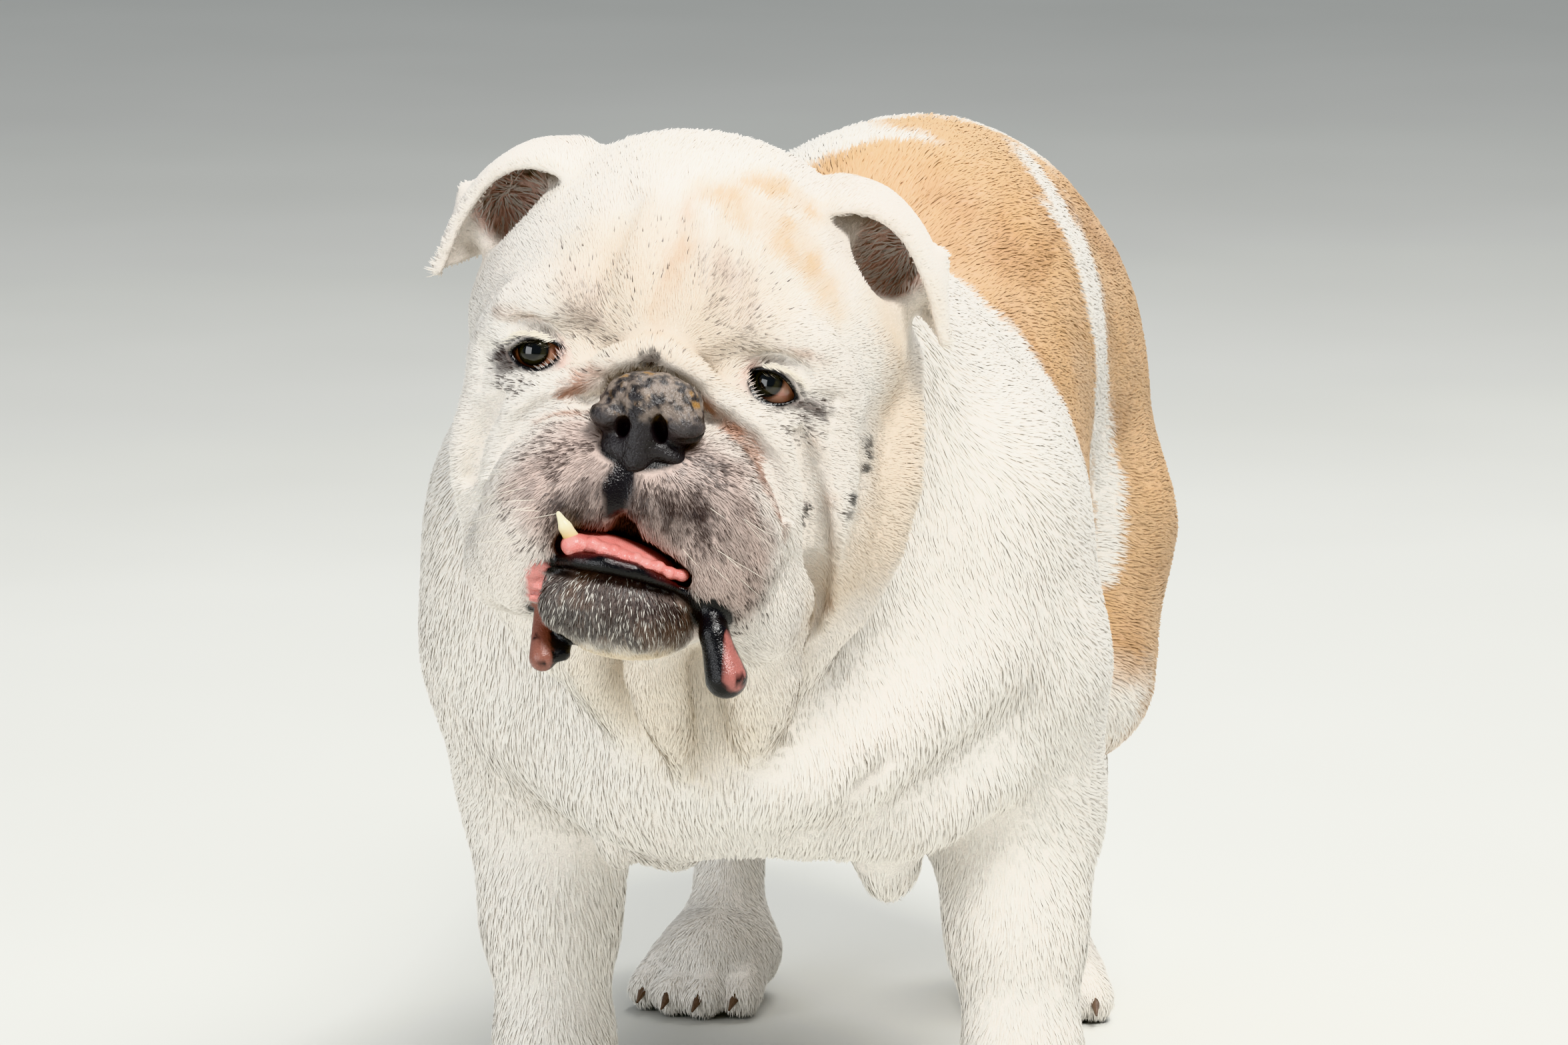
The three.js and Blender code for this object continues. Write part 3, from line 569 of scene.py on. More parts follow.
# %% Jaw forms
BEADS = 4
lobe_forms = {
    -1: [limb((-29, 14, -82), (-25, 6, -98), 5, 7), limb((-21, 14, -86), (-18, 8, -95), 5, 5)],
    1: [limb((34, 10, -62), (41, 4, -79), 5, 7), limb((41, 4, -79), (48, 4, -95), 7, 10)]}
lip_beads = [egg((-31 - (i % 2), 2 + i, -62 - 4.5 * i), (3.8, 4, 3)) for i in range(BEADS)]
jaw_forms = [
    *add(12, egg((0, 14, -75), (33, 26, 20), (0, 5, 0)), egg((0, 40, -76), (36, 34, 16))),
    *add(6, [egg((x, -4 + abs(x) / 5, -78 - x / 12), (9, 7, 10)) for x in (-20, -4, 13)]),
    *add(3, fold([(-29, 8, -61), (-14, -6, -58), (8, -8, -59), (29, 6, -65)], 5.4)),
    *add(3, lobe_forms[-1], lobe_forms[1]),
    *add(1.5, lip_beads),
]
print(len(jaw_forms), "jaw forms")

# %% [markdown]
# ## Eyelids
# A lid is a thin shell of skin that slides on the eyeball. So a slightly larger ball is added round each eye,
# and the opening between the lids is carved out of it: the space inside two crossing circles, one for each
# lid. Extruding an almond from a flat face would do too, but wouldn't follow the ball.

# %% Lids
LID_THICK = 1.7
LID_HALF = 9.6
LID_TILT = {-1: math.radians(-12), 1: math.radians(-22)}
LID_UP = 4.2
LID_DOWN = 6.4


def lid_circle(high):
    """The radius of the circle through both corners of the eye and a point high above or below them."""
    return (LID_HALF ** 2 + high ** 2) / (2 * high)


def lid_opening(s):
    """The almond between the lids of one eye, as a prism that runs out of the face."""
    eye = eye_at(s)
    c, n = math.cos(LID_TILT[s]), math.sin(LID_TILT[s])
    upper = lid_circle(LID_UP)
    lower = lid_circle(LID_DOWN)

    def distance(p):
        off = p - eye.astype(np.float32)
        side = s * off[:, 0] * c + off[:, 2] * n
        up = -s * off[:, 0] * n + off[:, 2] * c
        above = np.hypot(side, up - (LID_UP - upper)) - upper
        below = np.hypot(side, up - (lower - LID_DOWN)) - lower
        return np.maximum(np.maximum(above, below), off[:, 1] + 4)

    return Form(distance, eye - (0, 14, 0), 20)


lid_forms = [
    *add(5, both(lambda s: egg(eye_at(s), (EYE_R + LID_THICK,) * 3))),
    *carve(1.2, both(lid_opening)),
]
print("lid openings", 2 * LID_HALF, "mm wide and", LID_UP + LID_DOWN, "mm high")

# %% [markdown]
# ## Ears
# A rose ear folds over and back like a hood. Its middle surface is a sheet between three curves: the root,
# the crown and the front rim. The distance to that sheet, less half the ear's thickness, melts into the head,
# so no seam shows at the root, as it would where a separate shell was joined on.

# %% Ears
EAR_THICK = 4.0
EAR_ROOT = [(42, 92, 92), (50, 114, 98), (64, 122, 92), (76, 120, 78), (86, 112, 62), (98, 97, 52)]
EAR_CROWN = [(38, 84, 98), (50, 92, 113), (72, 96, 113), (93, 97, 96), (104, 94, 72), (105, 90, 49)]
EAR_RIM = [(42, 70, 82), (54, 64, 91), (69, 64, 93), (83, 70, 86), (95, 78, 68), (103, 86, 46)]
EAR_COLUMNS, EAR_ROWS = 40, 16


def ear_sheet(s):
    """The middle surface of an ear, as a bmesh grid that is bent onto its curves."""
    lines = [smooth_line(curve, EAR_COLUMNS) * (s, 1, 1) for curve in (EAR_ROOT, EAR_CROWN, EAR_RIM)]
    sheet = bmesh.new()
    bmesh.ops.create_grid(sheet, x_segments=EAR_COLUMNS, y_segments=EAR_ROWS, size=1)
    for vertex in sheet.verts:
        column = round((vertex.co.x + 1) / 2 * EAR_COLUMNS)
        v = (vertex.co.y + 1) / 2
        weights = ((1 - v) ** 2, 2 * v * (1 - v), v * v)
        vertex.co = Vector(sum(w * line[column] for w, line in zip(weights, lines)))
    return sheet


ear_trees = {}
for s in (-1, 1):
    sheet = ear_sheet(s)
    ear_trees[s] = BVHTree.FromBMesh(sheet)
    sheet.free()


def ear_form(s):
    """The distance to an ear."""
    tree = ear_trees[s]

    def distance(p):
        return np.array([tree.find_nearest(v)[3] for v in p.tolist()], np.float32) - EAR_THICK / 2

    return Form(distance, (s * 73, 94, 80), 52)


ear_forms = [
    *add(5, both(ear_form)),
    *add(6, both(lambda s: fold([(s * 97, 90, 80), (s * 93, 94, 69), (s * 86, 97, 60)], 5.5)))]
print("ears ready")


# %% [markdown]
# ## One field for the skin
# Hair lies over the skin, so the skin is sunk a little below the solids, by the depth of the coat. Lids and
# ears are melted in last and aren't sunk, since hair is shortest there and they are thin already.


# %% The whole field
NECK_BLEND = 12
JAW_BLEND = 1.5
COAT_DEPTH = 1.6
HEAD_MIDDLE = np.array((0, 60, 0))
HEAD_REACH = 260


def head_distance(p):
    """The distance to the head and jaw, at points of the head's axes."""
    d = clay(p, head_forms)
    return blend(d, clay(p, jaw_forms), JAW_BLEND) + COAT_DEPTH


def skin_distance(points):
    """The distance to the skin, at points of the dog's axes."""
    p = np.asarray(points, np.float32)
    d = clay(p, body_forms) + COAT_DEPTH
    local = to_head(p).astype(np.float32)
    near = np.flatnonzero(np.sqrt(((local - HEAD_MIDDLE) ** 2).sum(1)) < HEAD_REACH)
    head = np.full(len(p), FAR, np.float32)
    head[near] = head_distance(local[near])
    d = blend(d, head, NECK_BLEND)
    d[near] = clay(local[near], [*lid_forms, *ear_forms], d[near])
    return d


print("the middle of the chest is", skin_distance([at(0, 146, 272)]).round(), "mm from the skin")


# %% [markdown]
# ## From clay to one mesh
# The field is sampled on a grid near its surface, and OpenVDB, which comes with Blender, turns the grid into
# quads. A voxel remesh would also make them, but would lose the lids. The head needs a finer grid than the
# trunk, so two meshes are made, each cut at one plane through the neck, and the two cut edges are bridged.
# The result is one closed skin.

# %% Casting
COARSE = 4
NEAR_CELLS = 1.3
BAND = 3.0


def cast(distance, low, high, step):
    """The surface where distance is zero, as points and quads, from a grid that is only filled near it."""
    low = np.asarray(low, float)
    big = step * COARSE
    cells = np.ceil((np.asarray(high) - low) / big).astype(int) + 1
    axes = [low[i] + big * np.arange(cells[i]) + 1.5 * step for i in range(3)]
    middles = np.stack(np.meshgrid(*axes, indexing="ij"), -1).reshape(-1, 3)
    rough = distance(middles).reshape(cells)
    grid = rough.repeat(COARSE, 0).repeat(COARSE, 1).repeat(COARSE, 2)
    near = np.abs(grid) < NEAR_CELLS * big
    grid[near] = distance(low + np.argwhere(near) * step)
    values = np.clip(grid / step, -BAND, BAND).astype(np.float32)
    volume = openvdb.FloatGrid()
    volume.background = BAND
    volume.copyFromArray(values)
    points, _, quads = volume.convertToPolygons(isovalue=0.0, adaptivity=0.0)
    print("cast", int(near.sum()), "samples,", len(quads), "quads,", round(time.time() - START), "s")
    return low + points * step, quads


print("a coarse cell is", COARSE, "steps")


# %% Settling
PROBE = 0.35


def slope_at(distance, p):
    """The distance and its slope, from four samples round each point."""
    corners = np.array(((1, 1, 1), (1, -1, -1), (-1, 1, -1), (-1, -1, 1)), float)
    values = [distance(p + PROBE * c) for c in corners]
    slope = sum(v[:, None] * c for v, c in zip(values, corners)) / (4 * PROBE)
    return sum(values) / 4, slope


def settle(distance, p, times=2, most=1.0):
    """Moves points onto the surface along the slope of the distance."""
    for _ in range(times):
        d, slope = slope_at(distance, p)
        move = np.clip(d / np.maximum((slope ** 2).sum(1), 0.2), -most, most)
        p = p - move[:, None] * slope
    return p


def mesh_bm(points, quads):
    """A bmesh of points and quads."""
    mesh = bpy.data.meshes.new("cast")
    mesh.from_pydata(points.tolist(), [], quads.tolist())
    made = bmesh.new()
    made.from_mesh(mesh)
    bpy.data.meshes.remove(mesh)
    return made


test_point = settle(test_egg.distance, np.array([(11.0, 0.0, 0.0)]))
print("a point 1 mm outside an egg settles at", test_point.round(2))

# %% Two castings
BODY_STEP = 4.9
HEAD_STEP = 1.85
CUT_POINT = from_head((0, 118, 0))
CUT_NORMAL = HEAD_TURN @ np.array((0, 0.913, -0.41))
BRIDGE = 3.0
SPARE_BEFORE, SPARE_BEHIND = 14, 8
body_low, body_high = (-190, -235, -6), (180, 530, 510)


def body_only(p):
    """The skin's distance, with the face left out well before the cut."""
    return np.maximum(skin_distance(p), -((p - CUT_POINT) @ CUT_NORMAL) - SPARE_BEFORE)


def head_only(p):
    """The skin's distance, with the trunk left out well behind the cut."""
    return np.maximum(skin_distance(p), (p - CUT_POINT) @ CUT_NORMAL - SPARE_BEHIND)


head_corners = from_head([(x, y, z) for x in (-118, 118) for y in (-24, 150) for z in (-125, 130)])
parts = []
for distance, low, high, step, keep in (
        (body_only, body_low, body_high, BODY_STEP, 1),
        (head_only, head_corners.min(0), head_corners.max(0), HEAD_STEP, -1)):
    points, quads = cast(distance, low, high, step)
    part = mesh_bm(points, quads)
    plane = CUT_POINT + CUT_NORMAL * (BRIDGE if keep > 0 else 0)
    bmesh.ops.bisect_plane(
        part, geom=part.verts[:] + part.edges[:] + part.faces[:], plane_co=plane, plane_no=CUT_NORMAL,
        clear_inner=keep > 0, clear_outer=keep < 0)
    parts.append(part)
print("parts", [len(p.faces) for p in parts], round(time.time() - START), "s")


# %% Bridging the neck
def islands_but_largest(made):
    """The vertices of every loose scrap."""
    left, groups = set(made.verts), []
    while left:
        seed = left.pop()
        group, edge = {seed}, [seed]
        while edge:
            for e in edge.pop().link_edges:
                for v in e.verts:
                    if v in left:
                        left.discard(v)
                        group.add(v)
                        edge.append(v)
        groups.append(group)
    groups.sort(key=len, reverse=True)
    return [v for g in groups[1:] for v in g]


skin = bmesh.new()
for part in parts:
    bmesh.ops.delete(part, geom=islands_but_largest(part), context="VERTS")
    holder = bpy.data.meshes.new("part")
    part.to_mesh(holder)
    part.free()
    skin.from_mesh(holder)
    bpy.data.meshes.remove(holder)
open_edges = [e for e in skin.edges if e.is_boundary]
print("open edges", len(open_edges))
bmesh.ops.bridge_loops(skin, edges=open_edges)
print("still open", sum(e.is_boundary for e in skin.edges))
bmesh.ops.recalc_face_normals(skin, faces=skin.faces)

# %% [markdown]
# ## A finer mesh round the eyes
# A lid is thinner than one step of the grid. Only the edges near the eyes are subdivided, which costs few
# triangles, and all points are then settled onto the clay once more.


# %% Finer mesh round the eyes
def put_at(vertices, places):
    """Puts vertices at places of the dog's axes."""
    for vertex, place in zip(vertices, to_frame(places)):
        vertex.co = place


FINE_REACH = 19
fine_spots = [eye_at(s) - (0, 10, 0) for s in (-1, 1)]
edge_list = list(skin.edges)
middles = to_head(np.array([(e.verts[0].co + e.verts[1].co) / 2 for e in edge_list]))
fine = np.min([np.linalg.norm(middles - spot, axis=1) for spot in fine_spots], axis=0) < FINE_REACH
bmesh.ops.subdivide_edges(
    skin, edges=[e for e, f in zip(edge_list, fine) if f], cuts=1, use_grid_fill=True)
places = np.array([v.co for v in skin.verts])
put_at(skin.verts, settle(skin_distance, places))
bmesh.ops.recalc_face_normals(skin, faces=skin.faces)
bmesh.ops.triangulate(skin, faces=[f for f in skin.faces if len(f.verts) > 4])
skin_mesh = bpy.data.meshes.new("hide")
skin.to_mesh(skin_mesh)
skin.free()
skin_mesh.shade_smooth()
hide = placed("hide", skin_mesh)
triangles = sum(len(p.vertices) - 2 for p in skin_mesh.polygons)
print("skin triangles", triangles, round(time.time() - START), "s")

# %% [markdown]
# ## Markings
# The coat is white with a tan saddle and hip on the dog's left, the muzzle is mottled grey and pink, the chin
# is grizzled black, and the creases by the nose are stained rust. Some grooves and creases are darkened with
# painted shade, and the top of the back and the inner ears are lightened with painted light. Each marking is
# a clay form whose edge is softened and roughened by noise. An image could hold them too, but functions of
# place colour the skin and every tuft that grows from it alike.


# %% Noise
def noise(p, size, seed=0):
    """Smooth random values from 0 to 1 that change over about size millimetres."""
    q = p / size + 1000.0
    cell = np.floor(q).astype(np.int64)
    f = q - cell
    f = f * f * (3 - 2 * f)
    total = np.zeros(len(p))
    for dx in (0, 1):
        for dy in (0, 1):
            for dz in (0, 1):
                h = ((cell[:, 0] + dx) * 73856093 ^ (cell[:, 1] + dy) * 19349663
                     ^ (cell[:, 2] + dz) * 83492791 ^ seed * 961748927) & 0xFFFFFFFF
                h = ((h ^ (h >> 13)) * 1274126177) & 0xFFFFFFFF
                value = ((h ^ (h >> 16)) & 0xFFFF) / 65535
                wx = f[:, 0] if dx else 1 - f[:, 0]
                wy = f[:, 1] if dy else 1 - f[:, 1]
                wz = f[:, 2] if dz else 1 - f[:, 2]
                total += value * wx * wy * wz
    return total


def rough_noise(p, size, seed=0):
    """Noise with two finer layers."""
    middle, finest = noise(p, size / 2.1, seed + 1), noise(p, size / 4.3, seed + 2)
    return (noise(p, size, seed) * 4 + middle * 2 + finest) / 7


def ramp(x, low, high):
    """From 0 at low to 1 at high, smoothly."""
    t = np.clip((x - low) / (high - low), 0, 1)
    return t * t * (3 - 2 * t)


def stain(p, forms, soft, ragged=0.0, size=12, seed=5, grow=0):
    """How far a point is inside some forms: 1 inside, 0 outside, over an edge soft millimetres wide. It masks
    markings and painted shade and light alike.
    """
    d = np.min([form.distance(p.astype(np.float32)) for form in flat_list(forms)], axis=0) - grow
    return ramp(-d + ragged * (rough_noise(p, size, seed) - 0.5) * 2, -soft, soft)


def mix(colour, other, share):
    """Colours moved towards another one by a share from 0 to 1."""
    return colour + (np.array(other) - colour) * np.asarray(share)[:, None]


test_line = np.array([(x, 0.0, 0.0) for x in range(0, 30, 10)])
print("noise along a line", noise(test_line, 12).round(2))


# %% Colours
WHITE = srgb(0.965, 0.95, 0.92)
CREAM = srgb(0.90, 0.82, 0.68)
PINK_WHITE = srgb(0.90, 0.81, 0.75)
TAN = srgb(0.82, 0.66, 0.47)
TAN_SHADE = srgb(0.66, 0.49, 0.33)
PALE_TAN = srgb(0.88, 0.75, 0.57)
RUST = srgb(0.60, 0.38, 0.25)
GREY_PINK = srgb(0.71, 0.615, 0.575)
DARK = srgb(0.20, 0.17, 0.17)
BLACK = srgb(0.07, 0.065, 0.07)
LID_SKIN = srgb(0.24, 0.19, 0.19)
EAR_PINK_PAINTED_LIGHTER = srgb(0.97, 0.83, 0.78)
LIP_PINK = srgb(0.68, 0.43, 0.40)
LIP_BROWN = srgb(0.58, 0.39, 0.34)
LEATHER = srgb(0.11, 0.10, 0.105)
MOUTH_DARK = srgb(0.22, 0.10, 0.10)
FOREHEAD_WARM = srgb(0.93, 0.86, 0.77)
CHIN_BROWN = srgb(0.44, 0.36, 0.31)
BEAD_PINK = srgb(0.84, 0.56, 0.53)
print("white coat", np.round(WHITE, 2))

# %% Where the trunk's markings are
saddle = [egg((45, 230, 330), (92, 62, 128)), egg((26, 318, 392), (52, 62, 40))]
hip = [egg((78, 380, 252), (66, 92, 152))]
stripe_line = [(50, 356, 412), (72, 312, 392), (90, 282, 360), (97, 284, 326), (97, 306, 270), (94, 305, 225)]
stripe = [fold(stripe_line, 16, 12)]
dewlap_cream = [egg((-28, -120, 258), (46, 40, 40))]
far_hip = [egg((-88, 392, 330), (42, 48, 56))]
print("saddle and hips of", len(saddle + hip + far_hip), "forms")

# %% Where the face's markings are
brow_tan = [
    fold([(8, 36, 90), (26, 37, 86), (42, 40, 78), (52, 43, 66), (60, 47, 50)], 8),
    fold([(22, 46, 96), (36, 52, 94), (48, 56, 88)], 7)]
cheek_tan = [fold([(84, 74, 48), (91, 91, 18), (91, 84, -8), (86, 72, -36), (74, 60, -62)], 22)]
forehead_warm = [egg((0, 30, 44), (44, 26, 34))]
left_roll = [
    (14, 30, 15), (22, 22, 10), (28, 24, 5), (34, 22, 1), (41, 22, -6), (47, 17, -14), (53, 15, -22),
    (57, 22, -36)]
roll_rust = [
    fold([(-17, 20, 18), (-26, 20, 11), (-33, 22, 5)], 3.6),
    fold([(-22, 17, -1), (-30, 18, -3), (-42, 22, -7)], 3), fold(left_roll, 4.6, 12)]
nose_spot = [egg((-1, 17, 23.4), (4.2, 8, 2))]
# Grey on the brows: partly grey-brown hair, partly painted shade in the grooves beside the forehead.
grey_brows_and_groove_shade = [egg((25, 24, 53), (10, 12, 19), (0, -33, 0)), egg((-31, 24, 40), (8, 10, 11), (0, -35, 0))]
furrow = [fold([(-1, 22, 30), (-1, 22, 44), (1, 22, 58), (5, 26, 72), (3, 34, 84)], 4.2, 10)]
over_lids = [egg((-56, 30, 33), (11, 9, 2.6)), egg((54, 30, 34), (11, 9, 2.4), (0, 14, 0))]
inner_corners = [egg((-38, 26, 20), (4, 6, 7)), egg((37, 26, 22), (4, 6, 7))]
# A brown line along the carved cheek crease: painted shade in the crease.
cheek_crease_painted_shade = [fold([(63, 31, 2), (70, 39, -22), (74, 46, -44), (72, 68, -64)], 4)]
face_stains_and_painted_shade = [
    (furrow, srgb(0.82, 0.70, 0.58), 0.55, 4), (grey_brows_and_groove_shade, srgb(0.66, 0.59, 0.55), 0.55, 6),
    (over_lids, srgb(0.66, 0.51, 0.40), 0.5, 2), (inner_corners, srgb(0.74, 0.50, 0.42), 0.6, 3),
    (cheek_crease_painted_shade, srgb(0.66, 0.52, 0.40), 0.6, 3)]
muzzle_grey = [egg((5, 0, -32), (50, 36, 34)), egg((20, 4, -50), (42, 34, 30))]
muzzle_dark = [
    fold([(0, -6, -20), (-1, -6, -34), (-3, -2, -46)], 8), egg((12, -4, -34), (22, 20, 9)),
    egg((-16, -4, -40), (12, 20, 9))]
eye_pockets = [egg((-59, 31, 15), (6, 9, 5.5)), egg((61, 32, 13), (7.5, 9, 3.4), (0, 14, 0))]
under_eyes = [egg((-53, 28, 6), (10, 9, 6)), egg((58, 30, 4), (12, 9, 6))]
philtrum = [fold([(2, 0, -10), (-2, -2, -20), (-3.6, -3, -28), (-3, -4, -36), (-0.5, -1, -46)], 6.2)]
chin_black = [egg((2, 2, -73), (36, 26, 17))]
chin_cream = [egg((4, 20, -96), (36, 26, 10))]
lower_lip = [fold([(-29, 6, -62), (-14, -9, -59), (8, -11, -60), (29, 3, -66)], 7)]
lobe_pink = {-1: [limb((-31, 10, -82), (-27, 1, -100), 5, 7)], 1: [limb((50, 0, -75), (54, -3, -94), 4, 6)]}
nose_seat = [egg((3.4, 7, -0.5), (21, 13, 14)), egg((2, 4, -12), (17, 14, 9))]
speck_places = [
    (81, 63, 3), (82, 64, -2), (82, 64, -7), (80, 46, -20), (79, 46, -26), (63, 44, -26), (62, 44, -30)]
specks = [egg(place, (1.4, 8, 2.2)) for place in speck_places]
print(len(face_stains_and_painted_shade), "stains and", len(specks), "specks on the face")


# %% [markdown]
# ## Painting in turn
# The markings are laid over one another as glazes are: the trunk's first, then the face from the brow down,
# and last what is bare and wet. The parts that stay bare come back as a mask, so that no hair grows there.


# %% The trunk and brow
def paint_trunk(p, on_head):
    """The white coat with its tan saddle and hips, with painted light that makes the tan paler on the top of
    the back.
    """
    colour = np.tile(WHITE, (len(p), 1))
    colour = mix(colour, PINK_WHITE, (0.12 + 0.14 * on_head) * rough_noise(p, 40, 3))
    colour = mix(colour, CREAM, 0.3 * stain(p, dewlap_cream, 16, 10, 18))
    tan = np.maximum(stain(p, saddle, 5, 9, 16), stain(p, hip, 8, 10, 18))
    tan = np.maximum(tan, stain(p, far_hip, 8, 10, 18))
    left_of_spine = ramp(p[:, 0] + 34 + 8 * rough_noise(p, 20, 9), -6, 6)
    tan *= (1 - stain(p, stripe, 4, 5, 14)) * np.where(p[:, 0] > -60, left_of_spine, 1)
    colour = mix(colour, TAN, tan * (0.8 + 0.2 * rough_noise(p, 30, 11)))
    streak = ramp(rough_noise(p * (1, 0.35, 0.6), 26, 14), 0.48, 0.72)
    colour = mix(colour, TAN_SHADE, 0.55 * tan * streak)
    # Paler tan on the top of the back: painted light where light falls from above.
    return mix(colour, PALE_TAN, 0.5 * tan * ramp(p[:, 2], 395, 420))


def paint_brow(colour, h, on_head, broken):
    """Tan on the brow and cheek, warm skin that shows through, stains, painted shade in the brow grooves and
    cheek crease, and rust in the creases.
    """
    on_brow = 0.8 * stain(h, brow_tan, 8, 7, 10) * broken
    tan = np.maximum(on_brow, 0.42 * stain(h, cheek_tan, 18, 9, 16))
    colour = mix(colour, PALE_TAN, tan * on_head)
    colour = mix(colour, FOREHEAD_WARM, 0.6 * on_head * stain(h, forehead_warm, 14, 8))
    # Each of these is a stain, or painted shade in a groove or crease.
    for forms, tone, share, soft in face_stains_and_painted_shade:
        colour = mix(colour, tone, share * on_head * stain(h, forms, soft, soft, 5) * broken)
    return mix(colour, RUST, 0.85 * on_head * stain(h, roll_rust, 2.5, 3, 5) * broken)


print("trunk and brow can be painted")


# %% The muzzle and chin
def paint_muzzle(colour, h, on_head):
    """Grey-pink skin with dark mottling in two sizes."""
    grey = stain(h, muzzle_grey, 8, 9, 12) * on_head * ramp(-h[:, 2], -8, 6)
    colour = mix(colour, GREY_PINK, 0.8 * grey)
    large, small = rough_noise(h, 11, 21), rough_noise(h, 3.6, 23)
    mottle = 0.5 * ramp(large, 0.48, 0.62) + 0.6 * ramp(small, 0.52, 0.66)
    colour = mix(colour, DARK, grey * np.minimum(mottle, 1) * 0.5)
    dark = stain(h, muzzle_dark, 6, 8, 7)
    colour = mix(colour, DARK, on_head * dark * (0.55 + 0.4 * np.minimum(mottle, 1)))
    return mix(colour, DARK, on_head * 0.75 * stain(h, nose_spot, 1.2, 1.2, 3))


def paint_chin(colour, h, on_head):
    """The black chin with its brown and cream, and the specks of the cheek."""
    chin = stain(h, chin_black, 4, 4, 7) * on_head
    colour = mix(colour, DARK, chin * 0.9)
    brown = ramp(rough_noise(h, 8, 33) + 0.006 * h[:, 0], 0.5, 0.66)
    colour = mix(colour, CHIN_BROWN, chin * 0.7 * brown)
    colour = mix(colour, CREAM, stain(h, chin_cream, 6, 6, 8) * on_head * 0.7)
    return mix(colour, BLACK, on_head * stain(h, specks, 1.2, 2, 3) * 0.85)


print("muzzle and chin can be painted")


# %% Lids, lips and ears
def paint_lids(colour, h, on_head, broken):
    """Dark skin round the eyes, and how far a point is on the bare rim of a lid."""
    eye_d = np.minimum(*[lid_opening(s).distance(h.astype(np.float32)) for s in (-1, 1)])
    ahead = ramp(-h[:, 1], -44, -34)
    colour = mix(colour, LID_SKIN, ahead * 0.6 * ramp(-eye_d + 3 * (rough_noise(h, 5, 4) - 0.5), -4.5, -1.5))
    colour = mix(colour, LID_SKIN, on_head * 0.8 * stain(h, eye_pockets, 3, 3, 4) * broken)
    rim = ahead * ramp(-eye_d, -2.4, -1.4)
    return mix(colour, BLACK, rim), rim


def paint_mouth(colour, h, on_head):
    """Black lips, pink lobes and beads, and the dark of the mouth, with a mask of them all."""
    bare = stain(h, lower_lip, 1.0) * on_head
    colour = mix(colour, BLACK, bare)
    for s, forms in lobe_forms.items():
        lobe = stain(h, forms, 0.8, grow=2.4) * on_head
        pink = stain(h, lobe_pink[s], 0.8, 1.5, 4) * ramp(rough_noise(h, 5, 31), 0.3, 0.45)
        colour = mix(mix(colour, BLACK, lobe), LIP_PINK if s > 0 else LIP_BROWN, lobe * pink * 0.9)
        bare = np.maximum(bare, lobe)
    for forms, soft, grow, tone in ((lip_beads, 0.4, 0.2, BEAD_PINK), (mouth_forms, 0.8, 0.9, MOUTH_DARK)):
        inside = stain(h, forms, soft, grow=grow) * on_head
        colour = mix(colour, tone, inside)
        bare = np.maximum(bare, inside)
    return colour, bare


def ear_cup(h, normals):
    """The bare inner side of the ears: what faces forwards under the hood."""
    facing = ramp(-(normals @ HEAD_TURN)[:, 1], -0.1, 0.35)
    cups = [stain(h, [egg((s * 77, 96, 77), (17, 21, 16))], 3, 3, 8) for s in (-1, 1)]
    return np.maximum(*cups) * facing


print("lids, lips and ears can be painted")


# %% Painting it all
def paint(points, normals):
    """Colour, bareness (1 where no hair grows) and wetness of points of the skin."""
    p, h = points, to_head(points)
    on_head = ramp(-(p - CUT_POINT) @ CUT_NORMAL, -30, 10)
    broken = 0.45 + 0.55 * ramp(rough_noise(h * (1, 1, 0.5), 8, 17), 0.38, 0.6)
    leather = on_head * stain(h, philtrum, 1.2, 1.5, 4)
    colour = paint_trunk(p, on_head)
    colour = paint_brow(colour, h, on_head, broken)
    colour = paint_muzzle(colour, h, on_head)
    colour = mix(colour, LEATHER, leather)
    colour = paint_chin(colour, h, on_head)
    colour, lid_rim = paint_lids(colour, h, on_head, broken)
    colour, bare = paint_mouth(colour, h, on_head)
    bare = np.maximum(bare, np.maximum(lid_rim, leather))
    seat = stain(h, nose_seat, 1) * on_head
    colour = mix(colour, BLACK, seat)
    wet = np.maximum(bare, seat * 0.5)
    cup = ear_cup(h, normals) * on_head
    # The bare inner ear is painted a paler pink than its skin: painted light that stands for light shining
    # through the ear.
    colour = mix(colour, EAR_PINK_PAINTED_LIGHTER, cup * 0.85)
    sole = ramp(-p[:, 2], -5, -2)
    colour = mix(colour, DARK, sole * 0.8)
    bare = np.maximum(np.maximum(bare, seat), np.maximum(cup * 0.5, sole))
    return colour, np.clip(bare, 0, 1), wet


def mesh_arrays(mesh):
    """The points in millimetres on the dog's axes, and the normals."""
    n = len(mesh.vertices)
    points = np.empty(n * 3, np.float32)
    normals = np.empty(n * 3, np.float32)
    mesh.vertices.foreach_get("co", points)
    mesh.vertex_normals.foreach_get("vector", normals)
    return (points.reshape(-1, 3) - SHIFT) / MM, normals.reshape(-1, 3).astype(float)


def set_colours(mesh, name, colours):
    """Writes a colour for each vertex."""
    layer = mesh.color_attributes.new(name, "FLOAT_COLOR", "POINT")
    data = np.ones((len(mesh.vertices), 4), np.float32)
    data[:, :3] = colours
    layer.data.foreach_set("color", data.ravel())


skin_points, skin_normals = mesh_arrays(skin_mesh)
colour, bare, wet = paint(skin_points, skin_normals)
# The skin under the coat takes the hair's colour, a little darker as painted shade under the hair, and a
# little pinker where skin shows through.
under_coat_with_painted_shade = mix(colour * 0.95, srgb(0.84, 0.72, 0.66), 0.08 * (1 - bare))
set_colours(skin_mesh, "Coat", under_coat_with_painted_shade)
set_colours(skin_mesh, "Wet", np.repeat(wet[:, None], 3, axis=1))
print("painted", len(skin_points), "points", round(time.time() - START), "s")

# %% [markdown]
# ## Finishes
# Skin and hair read their colour from the mesh. A shared group adds fine grain, as light and dark hairs do,
# and a height for bump. Wet parts are glossier, by a mask that is stored on the mesh beside the colour.


